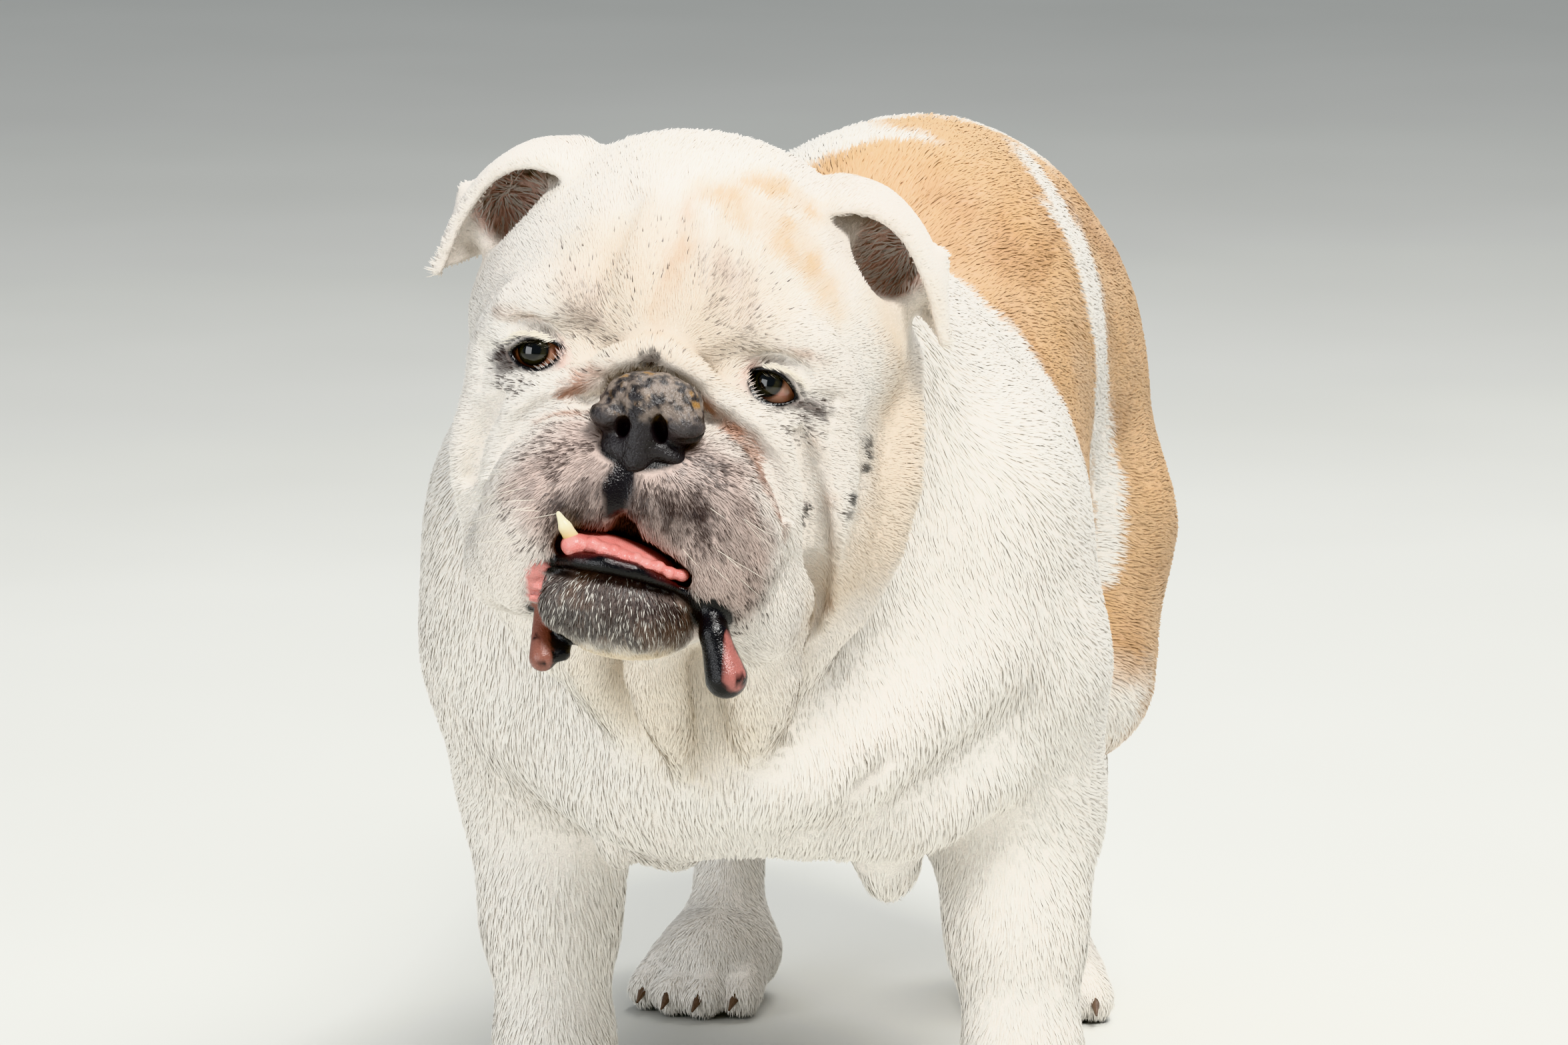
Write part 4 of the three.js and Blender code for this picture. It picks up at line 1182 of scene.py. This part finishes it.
# %% Grain group
def grain_group():
    """Fine light and dark specks over a colour, with a height for bump."""
    group = bpy.data.node_groups.new("fine_grain", "ShaderNodeTree")
    inputs = (("Colour", "NodeSocketColor"), ("Scale", "NodeSocketFloat"), ("Strength", "NodeSocketFloat"))
    for name, kind in inputs:
        group.interface.new_socket(name, in_out="INPUT", socket_type=kind)
    for name, kind in (("Colour", "NodeSocketColor"), ("Height", "NodeSocketFloat")):
        group.interface.new_socket(name, in_out="OUTPUT", socket_type=kind)
    put = group.nodes.new
    inside, outside = put("NodeGroupInput"), put("NodeGroupOutput")
    place, specks_node = put("ShaderNodeTexCoord"), put("ShaderNodeTexNoise")
    specks_node.inputs["Detail"].default_value = 3
    shift, blend_node = put("ShaderNodeMapRange"), put("ShaderNodeMix")
    blend_node.data_type = "RGBA"
    blend_node.blend_type = "MULTIPLY"
    shift.inputs["From Min"].default_value = 0.3
    shift.inputs["From Max"].default_value = 0.7
    shift.inputs["To Min"].default_value = 0.55
    shift.inputs["To Max"].default_value = 1.25
    link = group.links.new
    link(place.outputs["Object"], specks_node.inputs["Vector"])
    link(inside.outputs["Scale"], specks_node.inputs["Scale"])
    link(specks_node.outputs["Fac"], shift.inputs["Value"])
    link(inside.outputs["Strength"], blend_node.inputs["Factor"])
    link(inside.outputs["Colour"], blend_node.inputs["A"])
    link(shift.outputs["Result"], blend_node.inputs["B"])
    link(blend_node.outputs["Result"], outside.inputs["Colour"])
    link(specks_node.outputs["Fac"], outside.inputs["Height"])
    return group


GRAIN = grain_group()


def grained(name, attribute, roughness, scale, strength, bump, wet=False, **sockets):
    """A material that takes its colour from a mesh attribute, through the grain group."""
    material, tree, shader = new_material(name, roughness, **sockets)
    colour_node = tree.nodes.new("ShaderNodeAttribute")
    colour_node.attribute_name = attribute
    grain = tree.nodes.new("ShaderNodeGroup")
    grain.node_tree = GRAIN
    grain.inputs["Scale"].default_value = scale
    grain.inputs["Strength"].default_value = strength
    raised = tree.nodes.new("ShaderNodeBump")
    raised.inputs["Strength"].default_value = bump
    raised.inputs["Distance"].default_value = 0.0006
    tree.links.new(colour_node.outputs["Color"], grain.inputs["Colour"])
    tree.links.new(grain.outputs["Colour"], shader.inputs["Base Color"])
    tree.links.new(grain.outputs["Height"], raised.inputs["Height"])
    tree.links.new(raised.outputs["Normal"], shader.inputs["Normal"])
    if wet:
        wet_node = tree.nodes.new("ShaderNodeAttribute")
        wet_node.attribute_name = "Wet"
        gloss = tree.nodes.new("ShaderNodeMapRange")
        gloss.inputs["To Min"].default_value = roughness
        gloss.inputs["To Max"].default_value = 0.16
        tree.links.new(wet_node.outputs["Fac"], gloss.inputs["Value"])
        tree.links.new(gloss.outputs["Result"], shader.inputs["Roughness"])
    return material


skin_material = grained("skin", "Coat", 0.62, 1400, 0.3, 0.5, wet=True)
hair_material = grained("hair", "Coat", 0.5, 2600, 0.15, 0.0)
skin_mesh.materials.append(skin_material)
print("finishes", len(bpy.data.materials))

# %% [markdown]
# ## The lie of the coat
# Hair grows away from the nose over the face, back and down along the trunk, and down the legs. A slow noise
# turns it a little, so that it parts in places as a real coat does.


# %% Lie
def unit(v):
    """Vectors brought to a length of 1."""
    return v / np.maximum(np.linalg.norm(v, axis=1, keepdims=True), 1e-9)


def lie_of(points, normals, rng):
    """Unit vectors along the skin in which the hair lies."""
    p = points
    out = unit(to_head(p) - np.array((0, -6, 4))) @ HEAD_TURN.T
    on_head = ramp(-(p - CUT_POINT) @ CUT_NORMAL, -30, 20)[:, None]
    chest = ramp(p[:, 1], 40, -60)[:, None]
    legs = ramp(-p[:, 2], -190, -130)[:, None]
    trunk = np.tile((0.0, 1.0, -0.28), (len(p), 1))
    trunk[:, 0] = 0.25 * np.sign(p[:, 0]) * ramp(np.abs(p[:, 0] + 10), 0, 60)
    down = np.tile((0.0, 0.16, -1.0), (len(p), 1))
    way = trunk * (1 - chest) + down * chest
    way = way * (1 - legs) + down * legs
    way = way * (1 - on_head) + out * on_head * 1.4
    way = way - (way * normals).sum(1, keepdims=True) * normals
    way = unit(way)
    turn = 0.7 * (rough_noise(p, 26, 41) - 0.5) + 0.3 * (noise(p, 7, 45) - 0.5) + rng.normal(0, 0.1, len(p))
    side = np.cross(normals, way)
    return unit(way * np.cos(turn)[:, None] + side * np.sin(turn)[:, None])


on_back, upwards = np.array([(0.0, 250.0, 400.0)]), np.array([(0.0, 0.0, 1.0)])
print("hair on the back lies along", lie_of(on_back, upwards, np.random.default_rng(0)).round(1))

# %% [markdown]
# ## An unwrap of the skin
# Each tuft takes a tiny patch of a flat layout, at its root's place. A smart projection cuts the skin by the
# way it faces, so near roots get near patches, whichever way the camera looks.


# %% Unwrap
def unwrap(target):
    """A flat layout of the skin's own shape, for the tufts' patches."""
    bpy.context.view_layer.objects.active = target
    target.select_set(True)
    bpy.ops.object.mode_set(mode="EDIT")
    bpy.ops.mesh.select_all(action="SELECT")
    bpy.ops.uv.smart_project(angle_limit=math.radians(70), island_margin=0.001)
    bpy.ops.object.mode_set(mode="OBJECT")
    target.select_set(False)


unwrap(hide)
skin_mesh = hide.data
print("unwrapped", round(time.time() - START), "s")

# %% [markdown]
# ## Short hair
# Each tuft is a thin strip, wider in the middle and ending in a point, that leaves the skin at a low angle
# and lies down along it. Particle hair would be quicker to comb, but it isn't mesh. Tufts are small and dense
# on the face, ears and feet, and larger on the trunk. They are joined in pieces of fewer than 200,000
# triangles.

# %% The skin as arrays
skin_mesh.calc_loop_triangles()
count = len(skin_mesh.loop_triangles)
corner_verts = np.empty(count * 3, np.int32)
corner_loops = np.empty(count * 3, np.int32)
skin_mesh.loop_triangles.foreach_get("vertices", corner_verts)
skin_mesh.loop_triangles.foreach_get("loops", corner_loops)
corner_verts, corner_loops = corner_verts.reshape(-1, 3), corner_loops.reshape(-1, 3)
skin_uv = np.empty(len(skin_mesh.loops) * 2, np.float32)
skin_mesh.uv_layers.active.data.foreach_get("uv", skin_uv)
skin_uv = skin_uv.reshape(-1, 2)
skin_points, skin_normals = mesh_arrays(skin_mesh)
corners = skin_points[corner_verts]
areas = 0.5 * np.linalg.norm(np.cross(corners[:, 1] - corners[:, 0], corners[:, 2] - corners[:, 0]), axis=1)
centres = corners.mean(1)
print(count, "triangles,", round(float(areas.sum()) / 1e6, 2), "square metres of skin")


# %% Roots
def closeness(p):
    """From 0 on the trunk to 1 on the face and feet, where the hair is finest."""
    h = to_head(p)
    face = ramp(-np.linalg.norm((h - (0, 40, 0)) * (1, 0.8, 0.9), axis=1), -150, -75)
    feet = ramp(-p[:, 2], -120, -40)
    return np.maximum(face, feet * 0.8)


TUFTS = 440_000
close = closeness(centres)
weight = areas * (0.36 + 1.1 * close ** 1.5)
rng = np.random.default_rng(7)
chosen = np.searchsorted(np.cumsum(weight) / weight.sum(), rng.random(TUFTS)).clip(0, count - 1)
r1, r2 = np.sqrt(rng.random(TUFTS)), rng.random(TUFTS)
bary = np.stack([1 - r1, r1 * (1 - r2), r1 * r2], 1)
roots = (corners[chosen] * bary[:, :, None]).sum(1)
root_normals = unit((skin_normals[corner_verts[chosen]] * bary[:, :, None]).sum(1))
root_uv = (skin_uv[corner_loops[chosen]] * bary[:, :, None]).sum(1)
colour, bare, wet = paint(roots, root_normals)
kept = rng.random(TUFTS) > bare * 1.15
roots, root_normals, root_uv, colour = roots[kept], root_normals[kept], root_uv[kept], colour[kept]
print(len(roots), "tufts of", TUFTS, round(time.time() - START), "s")


# %% Growing
PATCH = 0.003
ROLL = 0.13
ROOT_SUNK = 0.4
MIDDLE_LIFT = 0.85
TUFT_POINTS, TUFT_CORNERS = 5, 7
# Tufts are painted darker at the root and lighter at the tip: painted shade among the roots and painted light
# on the tips.
TUFT_ROOT_SHADE_AND_TIP_LIGHT = np.array((0.92, 0.92, 0.99, 0.99, 1.04))
TUFT_UV = np.array(((0, 0), (1, 0), (1, 0.5), (0, 0.5), (0, 0.5), (1, 0.5), (0.5, 1))) - 0.5


def strips(name, roots, normals, lie, length, width, lift, colour, uv):
    """One mesh of flat strips with pointed ends, each a quad and a triangle."""
    n = len(roots)
    side = unit(np.cross(lie, normals))
    turn = rng.normal(0, ROLL, n)[:, None]
    side = unit(side * np.cos(turn) + normals * np.sin(turn))
    length, width, lift = (np.broadcast_to(v, n)[:, None] for v in (length, width, lift))
    low = roots - normals * ROOT_SUNK
    middle = roots + lie * length * 0.5 + normals * lift * MIDDLE_LIFT
    tip = roots + lie * length + normals * lift
    half = side * width / 2
    places = np.stack([low - half * 0.8, low + half * 0.8, middle - half, middle + half, tip], 1)
    loops = (np.arange(n)[:, None] * TUFT_POINTS + np.array((0, 1, 3, 2, 2, 3, 4))).ravel()
    starts = (np.arange(n)[:, None] * TUFT_CORNERS + np.array((0, 4))).ravel()
    mesh = bpy.data.meshes.new(name)
    mesh.vertices.add(n * TUFT_POINTS)
    mesh.vertices.foreach_set("co", to_frame(places.reshape(-1, 3)).astype(np.float32).ravel())
    mesh.loops.add(n * TUFT_CORNERS)
    mesh.loops.foreach_set("vertex_index", loops.astype(np.int32))
    mesh.polygons.add(n * 2)
    mesh.polygons.foreach_set("loop_start", starts.astype(np.int32))
    mesh.update(calc_edges=True)
    mesh.shade_smooth()
    mesh.normals_split_custom_set_from_vertices(np.repeat(unit(normals + 0.25 * lie), TUFT_POINTS, axis=0))
    # Darker roots and lighter tips: painted shade and painted light.
    set_colours(mesh, "Coat", (colour[:, None, :] * TUFT_ROOT_SHADE_AND_TIP_LIGHT[None, :, None]).reshape(-1, 3))
    layer = mesh.uv_layers.new(name="OFBake")
    layer.data.foreach_set("uv", (uv[:, None, :] + PATCH * TUFT_UV[None]).astype(np.float32).ravel())
    mesh.materials.append(hair_material)
    made = placed(name, mesh)
    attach(made, "root")


print("a tuft has", TUFT_POINTS, "points and 3 triangles")

# %% Length and width of each tuft
LONGEST, FACE_SHORTER, CROWN_LONGER = 8.0, 3.8, 2.5
WIDEST, FACE_NARROWER = 0.85, 0.44
close = closeness(roots)
lie = lie_of(roots, root_normals, rng)
local = to_head(roots)
crown = ramp(local[:, 2], 70, 105) * ramp(-np.abs(local[:, 0]), -60, -30)
on_ear = stain(local, both(lambda s: egg((s * 82, 90, 80), (34, 32, 44))), 5)
in_cup = ear_cup(local, root_normals)
length = (LONGEST - FACE_SHORTER * close + CROWN_LONGER * crown) * (1 - 0.5 * on_ear) * (1 + 1.2 * in_cup)
length *= rng.uniform(0.7, 1.2, len(roots))
width = WIDEST - FACE_NARROWER * close
lift = (0.55 - 0.1 * close) * rng.uniform(0.4, 1.4, len(roots)) + 1.6 * crown * rng.random(len(roots)) ** 2
jitter = rng.uniform(0.90, 1.05, len(roots))[:, None]
lift = lift * (1 - 0.75 * on_ear) + 2.4 * in_cup
print("tufts", length.min().round(1), "to", length.max().round(1), "mm long")

# %% [markdown]
# ## Odd hairs
# Where the coat changes colour, single hairs of the one stand among the other: white hairs in the black chin,
# dark ones over the brows and muzzle, white ones in the ears. So some tufts, drawn by chance, change colour.

# %% Odd hairs
WHITE_HAIR = srgb(0.88, 0.86, 0.82)
DARK_HAIR = srgb(0.24, 0.19, 0.175)
grizzle = stain(local, chin_black, 5) * (rng.random(len(roots)) < 0.24)
hair_colour = mix(colour * jitter, WHITE_HAIR, grizzle * rng.uniform(0.3, 0.95, len(roots)))
mottled = ramp(rough_noise(local, 9, 61), 0.4, 0.62)
on_brow = stain(local, grey_brows_and_groove_shade, 9, 4, 8)
pepper = np.maximum(0.3 * on_brow, 0.5 * stain(local, muzzle_grey, 9, 9, 12) * mottled)
pepper = np.maximum(pepper, 0.24 * stain(local, [*under_eyes, *eye_pockets], 4, 4, 6))
pepper = np.maximum(pepper, 0.07 * stain(local, forehead_warm, 14, 8, 12) * mottled)
dark_hair = rng.random(len(roots)) < pepper
darkness = dark_hair * rng.uniform(0.55, 0.95, len(roots)) * (1 - 0.45 * on_brow)
hair_colour = mix(hair_colour, DARK_HAIR, darkness)
lift = np.where(dark_hair, lift + 0.25, lift)
hair_colour = mix(hair_colour, WHITE, 0.9 * in_cup * (rng.random(len(roots)) < 0.7))
print(int(dark_hair.sum()), "dark hairs")

# %% [markdown]
# ## Lashes and whiskers
# Lashes stand along the upper lid and whiskers on the muzzle. They are longer and thinner tufts that leave
# the skin at a steeper angle, so they join the same lists, each rooted at the nearest point of the skin.

# %% Lashes and whiskers
vertex_uv = np.zeros((len(skin_points), 2), np.float32)
vertex_uv[corner_verts.ravel()] = skin_uv[corner_loops.ravel()]
LASHES, WHISKERS = 260, 18
LASH_HAIR = srgb(0.95, 0.92, 0.86)
upper_circle = lid_circle(LID_UP)
long_roots, long_ways, long_lengths = [], [], []
for s in (-1, 1):
    along = rng.uniform(-0.85, 0.95, LASHES) * LID_HALF
    above = LID_UP - upper_circle + np.sqrt(upper_circle ** 2 - along ** 2) + rng.uniform(1.2, 3.6, LASHES)
    ahead = -np.sqrt((EYE_R + LID_THICK) ** 2 - along ** 2 - above ** 2)
    c, n = math.cos(LID_TILT[s]), math.sin(LID_TILT[s])
    long_roots.append(eye_at(s) + np.stack([s * (along * c - above * n), ahead, along * n + above * c], 1))
    fan = 0.9 + 0.3 * along / LID_HALF
    long_ways.append(np.stack([s * fan, -0.5 + 0.1 * fan, -0.2 - 0.2 * rng.random(LASHES)], 1))
    long_lengths.append(rng.uniform(3.5, 6.0, LASHES))
    long_roots.append(np.array((s * 44, 4, -42)) + rng.normal(0, 1, (WHISKERS, 3)) * (8, 6, 8))
    long_ways.append(np.tile((s * 0.8, -0.35, -0.45), (WHISKERS, 1)) + rng.normal(0, 0.15, (WHISKERS, 3)))
    long_lengths.append(rng.uniform(9, 18, WHISKERS))
wanted = from_head(np.concatenate(long_roots))
nearest = np.array([np.argmin(((skin_points - place) ** 2).sum(1)) for place in wanted])
long_ways = unit(np.concatenate(long_ways) @ HEAD_TURN.T)
long_count = len(nearest)
roots = np.concatenate([roots, skin_points[nearest]])
root_normals = np.concatenate([root_normals, skin_normals[nearest]])
root_uv = np.concatenate([root_uv, vertex_uv[nearest]])
lie = np.concatenate([lie, long_ways])
length = np.concatenate([length, *long_lengths])
width = np.concatenate([width, np.full(long_count, 0.2)])
lift = np.concatenate([lift, np.full(long_count, 0.3)])
hair_colour = np.concatenate([hair_colour, np.tile(LASH_HAIR, (long_count, 1))])
print(long_count, "lashes and whiskers")

# %% Joining the coat
order = np.argsort(roots[:, 1], kind="stable")
PER_PIECE = 64_000
for number, first in enumerate(range(0, len(order), PER_PIECE)):
    part = order[first:first + PER_PIECE]
    strips(
        f"coat_{number}", roots[part], root_normals[part], lie[part], length[part], width[part], lift[part],
        hair_colour[part], root_uv[part])
print("coat grown", round(time.time() - START), "s")

# %% [markdown]
# ## Eyes
# The ball is a sphere whose pole looks where the dog looks. Its front bulges as a cornea does, and the rings
# of pupil, iris and white are coloured by their distance from that pole. The white is painted a dark brownish
# pink, as painted shade from the lids over it. A clear second ball over the first would bend light more
# truly, but a glossy coat on one ball looks the same from a step away.

# %% Eyes
IRIS = 6.2
PUPIL = 3.5
CORNEA = 1.1
GAZE = {-1: (-0.13, -1.0, 0.03), 1: (-0.24, -1.0, 0.12)}
eye_material, eye_tree, eye_shader = new_material(
    "eye", 0.04, Coat_Weight=1.0, Coat_Roughness=0.02, IOR=1.4)
eye_colour = eye_tree.nodes.new("ShaderNodeAttribute")
eye_colour.attribute_name = "Eye"
eye_tree.links.new(eye_colour.outputs["Color"], eye_shader.inputs["Base Color"])
for s, side in ((-1, "right"), (1, "left")):
    gaze = Vector(GAZE[s]).normalized()
    ball = bmesh.new()
    bmesh.ops.create_uvsphere(ball, u_segments=64, v_segments=64, radius=EYE_R)
    turn = Vector((0, 0, 1)).rotation_difference(gaze).to_matrix()
    for vertex in ball.verts:
        off = math.hypot(vertex.co.x, vertex.co.y)
        if vertex.co.z > 0 and off < IRIS + 1:
            vertex.co.z += CORNEA * (1 - (off / (IRIS + 1)) ** 2)
    mesh = bpy.data.meshes.new(f"eyeball_{side}")
    ball.to_mesh(mesh)
    ball.free()
    local = np.array([v.co for v in mesh.vertices])
    off = np.where(local[:, 2] > 0, np.hypot(local[:, 0], local[:, 1]), 99)
    angle = np.degrees(np.arctan2(local[:, 0], local[:, 1]))
    streaks = noise(np.stack([angle, off, off * 0], 1), 7, 3)
    # The white of the eye is painted a dark brownish pink: painted shade from the lids and brows over it.
    shade = np.tile(srgb(0.66, 0.50, 0.42), (len(local), 1))
    shade = mix(shade, srgb(0.58, 0.33, 0.29), 0.6 * ramp(rough_noise(local, 3, 8), 0.45, 0.65))
    shade = mix(shade, srgb(0.05, 0.04, 0.035), ramp(-off, -IRIS - 0.9, -IRIS))
    shade = mix(shade, srgb(0.17, 0.16, 0.11), ramp(-off, -IRIS + 0.2, -IRIS + 1.2) * (0.6 + 0.5 * streaks))
    shade = mix(shade, srgb(0.01, 0.01, 0.012), ramp(-off, -PUPIL - 0.6, -PUPIL))
    set_colours(mesh, "Eye", shade)
    put_at(mesh.vertices, from_head(local @ np.array(turn).T + eye_at(s)))
    mesh.shade_smooth()
    mesh.materials.append(eye_material)
    eyeball = placed(f"eyeball_{side}", mesh)
    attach(eyeball, "root")
    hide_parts(f"eye_{side}")
print("eyes set")


# %% [markdown]
# ## Nose, tongue and tooth
# These wet or hard parts stay apart from the skin, so that each can have its own finish. They are cast from
# clay too, one at a time, on a grid as fine as each needs.


# %% Pieces of the face
def head_piece(name, forms, low, high, step, node, colours, material, pebbles=0.0):
    """A closed piece made from clay in the head's axes."""

    def distance(p):
        return clay(p, forms) + pebbles * (noise(p, 2.1, 51) - 0.5) * ramp(p[:, 2], -4, 3)

    points, quads = cast(distance, low, high, step)
    points = settle(distance, points, 2, step)
    build = mesh_bm(points, quads)
    bmesh.ops.delete(build, geom=islands_but_largest(build), context="VERTS")
    places = np.array([v.co for v in build.verts])
    put_at(build.verts, from_head(places))
    bmesh.ops.recalc_face_normals(build, faces=build.faces)
    mesh = bpy.data.meshes.new(name)
    build.to_mesh(mesh)
    build.free()
    mesh.shade_smooth()
    set_colours(mesh, "Coat", colours(places))
    mesh.materials.append(material)
    made = placed(name, mesh)
    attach(made, "root")
    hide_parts(node)
    print(name, "has", len(mesh.polygons), "faces")


print("pieces of the face can be cast")


# %% [markdown]
# ## Nose
# A wide pad of bare leather with a pebbled, crusted top. Two wings curl round the nostrils, and a slit runs
# out under each wing. Pebbles are in the shape itself, a little noise added to the distance.

# %% Nose forms
slits = [
    fold([(10, -9, 3), (8.6, -10, -3), (11, -8, -8), (17, -5, -8.8), (23, -1, -6.2), (28, 6, -1)], 2.8),
    fold([(-5.5, -9, 0), (-4.8, -10, -4), (-8, -8, -7.7), (-13, -5, -7.4), (-19, 2, -4.8)], 2.6)]
wings = [
    egg((17, 2.5, -0.5), (9.4, 10.5, 7), (0, 8, 0)), egg((-11.5, 3.5, -0.8), (8.4, 10, 6.2), (0, 4, 0))]
nostrils = [
    egg((9.6, -5, -3.2), (3.0, 11, 5.6), (0, -8, 0)), egg((-5.2, -5, -4.2), (3.0, 11, 4.4), (0, 8, 0))]
nose_forms = [
    *add(7, egg((3.6, 7, 5.2), (20.5, 14, 13.5)), egg((2, 9, -9), (15, 12, 10))),
    *add(5, limb((2.2, -1, 3), (1.5, 0, -16), 6.2, 6)),
    *add(4, egg((11.5, 7, -12), (10.5, 10, 5.4), (0, 22, 0)), egg((-7.5, 7, -13), (7.5, 9, 7), (0, -10, 0))),
    *add(2.5, wings),
    *add(5, limb((-1, 5, -16), (-4, 5, -27), 7, 5)),
    *carve(1.0, slits),
    *carve(1.2, nostrils),
    *carve(1.5, fold([(1.8, -9, -8), (1.2, -8, -16), (-2, -3, -34)], 1.5)),
]
NOSE_BACK = np.array((0, 2, 0), np.float32)
for form in nose_forms:
    form.distance = lambda p, inner=form.distance: inner(p - NOSE_BACK)
    form.at = form.at + NOSE_BACK
print(len(nose_forms), "nose forms")


# %% Nose leather
def nose_colours(p):
    """Grey leather with lighter wings, partly painted sheen, a pale crust on top, yellow and black flecks in
    it, and painted shade in the slits.
    """
    colour = np.tile(srgb(0.17, 0.16, 0.165), (len(p), 1))
    # The wings are painted lighter grey: partly their own leather, partly painted sheen.
    colour = mix(colour, srgb(0.33, 0.31, 0.31), 0.85 * stain(p, wings, 1.5, 1, 4))
    top = ramp(p[:, 2] + 6 * (rough_noise(p, 6, 2) - 0.5), -2, 4)
    crust = top * ramp(rough_noise(p, 2.6, 6), 0.34, 0.58)
    colour = mix(colour, srgb(0.50, 0.45, 0.41), crust * 0.85)
    colour = mix(colour, srgb(0.56, 0.41, 0.17), crust * ramp(noise(p, 4, 12), 0.68, 0.84) * 0.8)
    colour = mix(colour, srgb(0.13, 0.12, 0.12), ramp(noise(p, 3, 15), 0.66, 0.8) * 0.8)
    # The slits are painted near black: painted shade inside them.
    colour = mix(colour, srgb(0.03, 0.03, 0.03), stain(p, slits, 0.5, grow=0.2))
    return colour


nose_material = grained("nose_leather", "Coat", 0.38, 900, 0.35, 1.0)
head_piece(
    "nose_pad", nose_forms, (-30, -20, -44), (32, 28, 28), 0.8, "nose", nose_colours,
    nose_material, pebbles=1.3)

# %% [markdown]
# ## Tongue
# The tongue lies on the lower lip and pushes its tip out at one side. Its edge is a row of soft lumps, so a
# loop lays small eggs along it.

# %% Tongue
TONGUE_LUMPS = 9


def tongue_lump(i):
    """One of the lumps of the front edge, from the dog's right to its left."""
    place = (-10 + 4.4 * i, -4.5 + 0.22 * (i - 2) ** 2, -51.4 - 0.85 * i - 0.7 * (i % 2))
    return egg(place, (3.0, 4.4, 3.4 - 0.1 * i))


tongue_forms = [
    *add(5, egg((-2, 14, -53), (23, 19, 5.8), (0, 10, 0))),
    *add(3, egg((-17.2, -2, -52.6), (5.6, 6, 4.8))),
    *add(1.4, [tongue_lump(i) for i in range(TONGUE_LUMPS)]),
]


def tongue_colours(p):
    """Pink with paler blots."""
    colour = np.tile(srgb(0.88, 0.53, 0.50), (len(p), 1))
    return mix(colour, srgb(0.93, 0.63, 0.60), ramp(rough_noise(p, 3, 9), 0.4, 0.7))


tongue_material = grained("tongue", "Coat", 0.28, 1500, 0.25, 0.8, Coat_Weight=0.5)
head_piece(
    "tongue_pad", tongue_forms, (-34, -14, -66), (34, 38, -34), 0.9, "tongue", tongue_colours,
    tongue_material)


# %% [markdown]
# ## Canine
# One lower canine stands out over the lip. Two tapered limbs end to end give it its slight curve, and it is
# yellower towards the root, as an older tooth is.


# %% Canine
def tooth_colours(p):
    """Ivory that turns yellow towards the root."""
    ivory = np.tile(srgb(0.93, 0.90, 0.78), (len(p), 1))
    return mix(ivory, srgb(0.80, 0.66, 0.34), ramp(-p[:, 2], 44, 53))


tooth_material = grained("tooth", "Coat", 0.25, 700, 0.12, 0.2)
canine_bend = (-21.4, -5.5, -46)
canine_forms = add(
    1, limb((-18, -2, -51), canine_bend, 3.3, 2.6), limb(canine_bend, (-24.6, -7, -41), 2.6, 1.0))
head_piece(
    "canine_tooth", canine_forms, (-34, -8, -62), (-16, 10, -32), 0.6, "canine", tooth_colours,
    tooth_material)

# %% [markdown]
# ## Claws
# A short blunt claw grows from the end of each toe and points down to the floor. A cone made by one operator
# is enough, since fur hides its root.

# %% Claws
CLAW_LONG = 13
CLAW_TILT = math.radians(117)
claw_mesh = bpy.data.meshes.new("claws")
claws = bmesh.new()
for paw in paw_list:
    for i in TOES:
        claw = bmesh.ops.create_cone(
            claws, segments=10, radius1=3.1, radius2=0.5, depth=CLAW_LONG, cap_ends=True)["verts"]
        tilt = Matrix.Rotation(paw[3], 4, "Z") @ Matrix.Rotation(CLAW_TILT, 4, "X")
        root = Vector(paw_point(paw, i * TOE_SPREAD, -46 - toe_forward(i), 9.5))
        bmesh.ops.transform(claws, matrix=Matrix.Translation(root) @ tilt, verts=claw)
bmesh.ops.transform(claws, matrix=Matrix.Translation(Vector(SHIFT)) @ Matrix.Scale(MM, 4), verts=claws.verts)
claws.to_mesh(claw_mesh)
claws.free()
set_colours(claw_mesh, "Coat", np.tile(srgb(0.40, 0.33, 0.28), (len(claw_mesh.vertices), 1)))
claw_mesh.materials.append(grained("claw_horn", "Coat", 0.35, 600, 0.4, 0.3))
claw_object = placed("claws", claw_mesh)
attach(claw_object, "root")
print("claws of", len(claw_mesh.polygons), "faces")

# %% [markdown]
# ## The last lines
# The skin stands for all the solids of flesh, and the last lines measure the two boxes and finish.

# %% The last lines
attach(hide, "root")
shown_apart = ("eye_left", "eye_right", "nose", "tongue", "canine")
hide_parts(*[n for n in frame["nodes"] if n not in shown_apart])
low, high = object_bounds()
sizes = {"cad": [list(cad_low), list(cad_high)], "visual": [list(low), list(high)]}
print("done in", round(time.time() - START), "s")
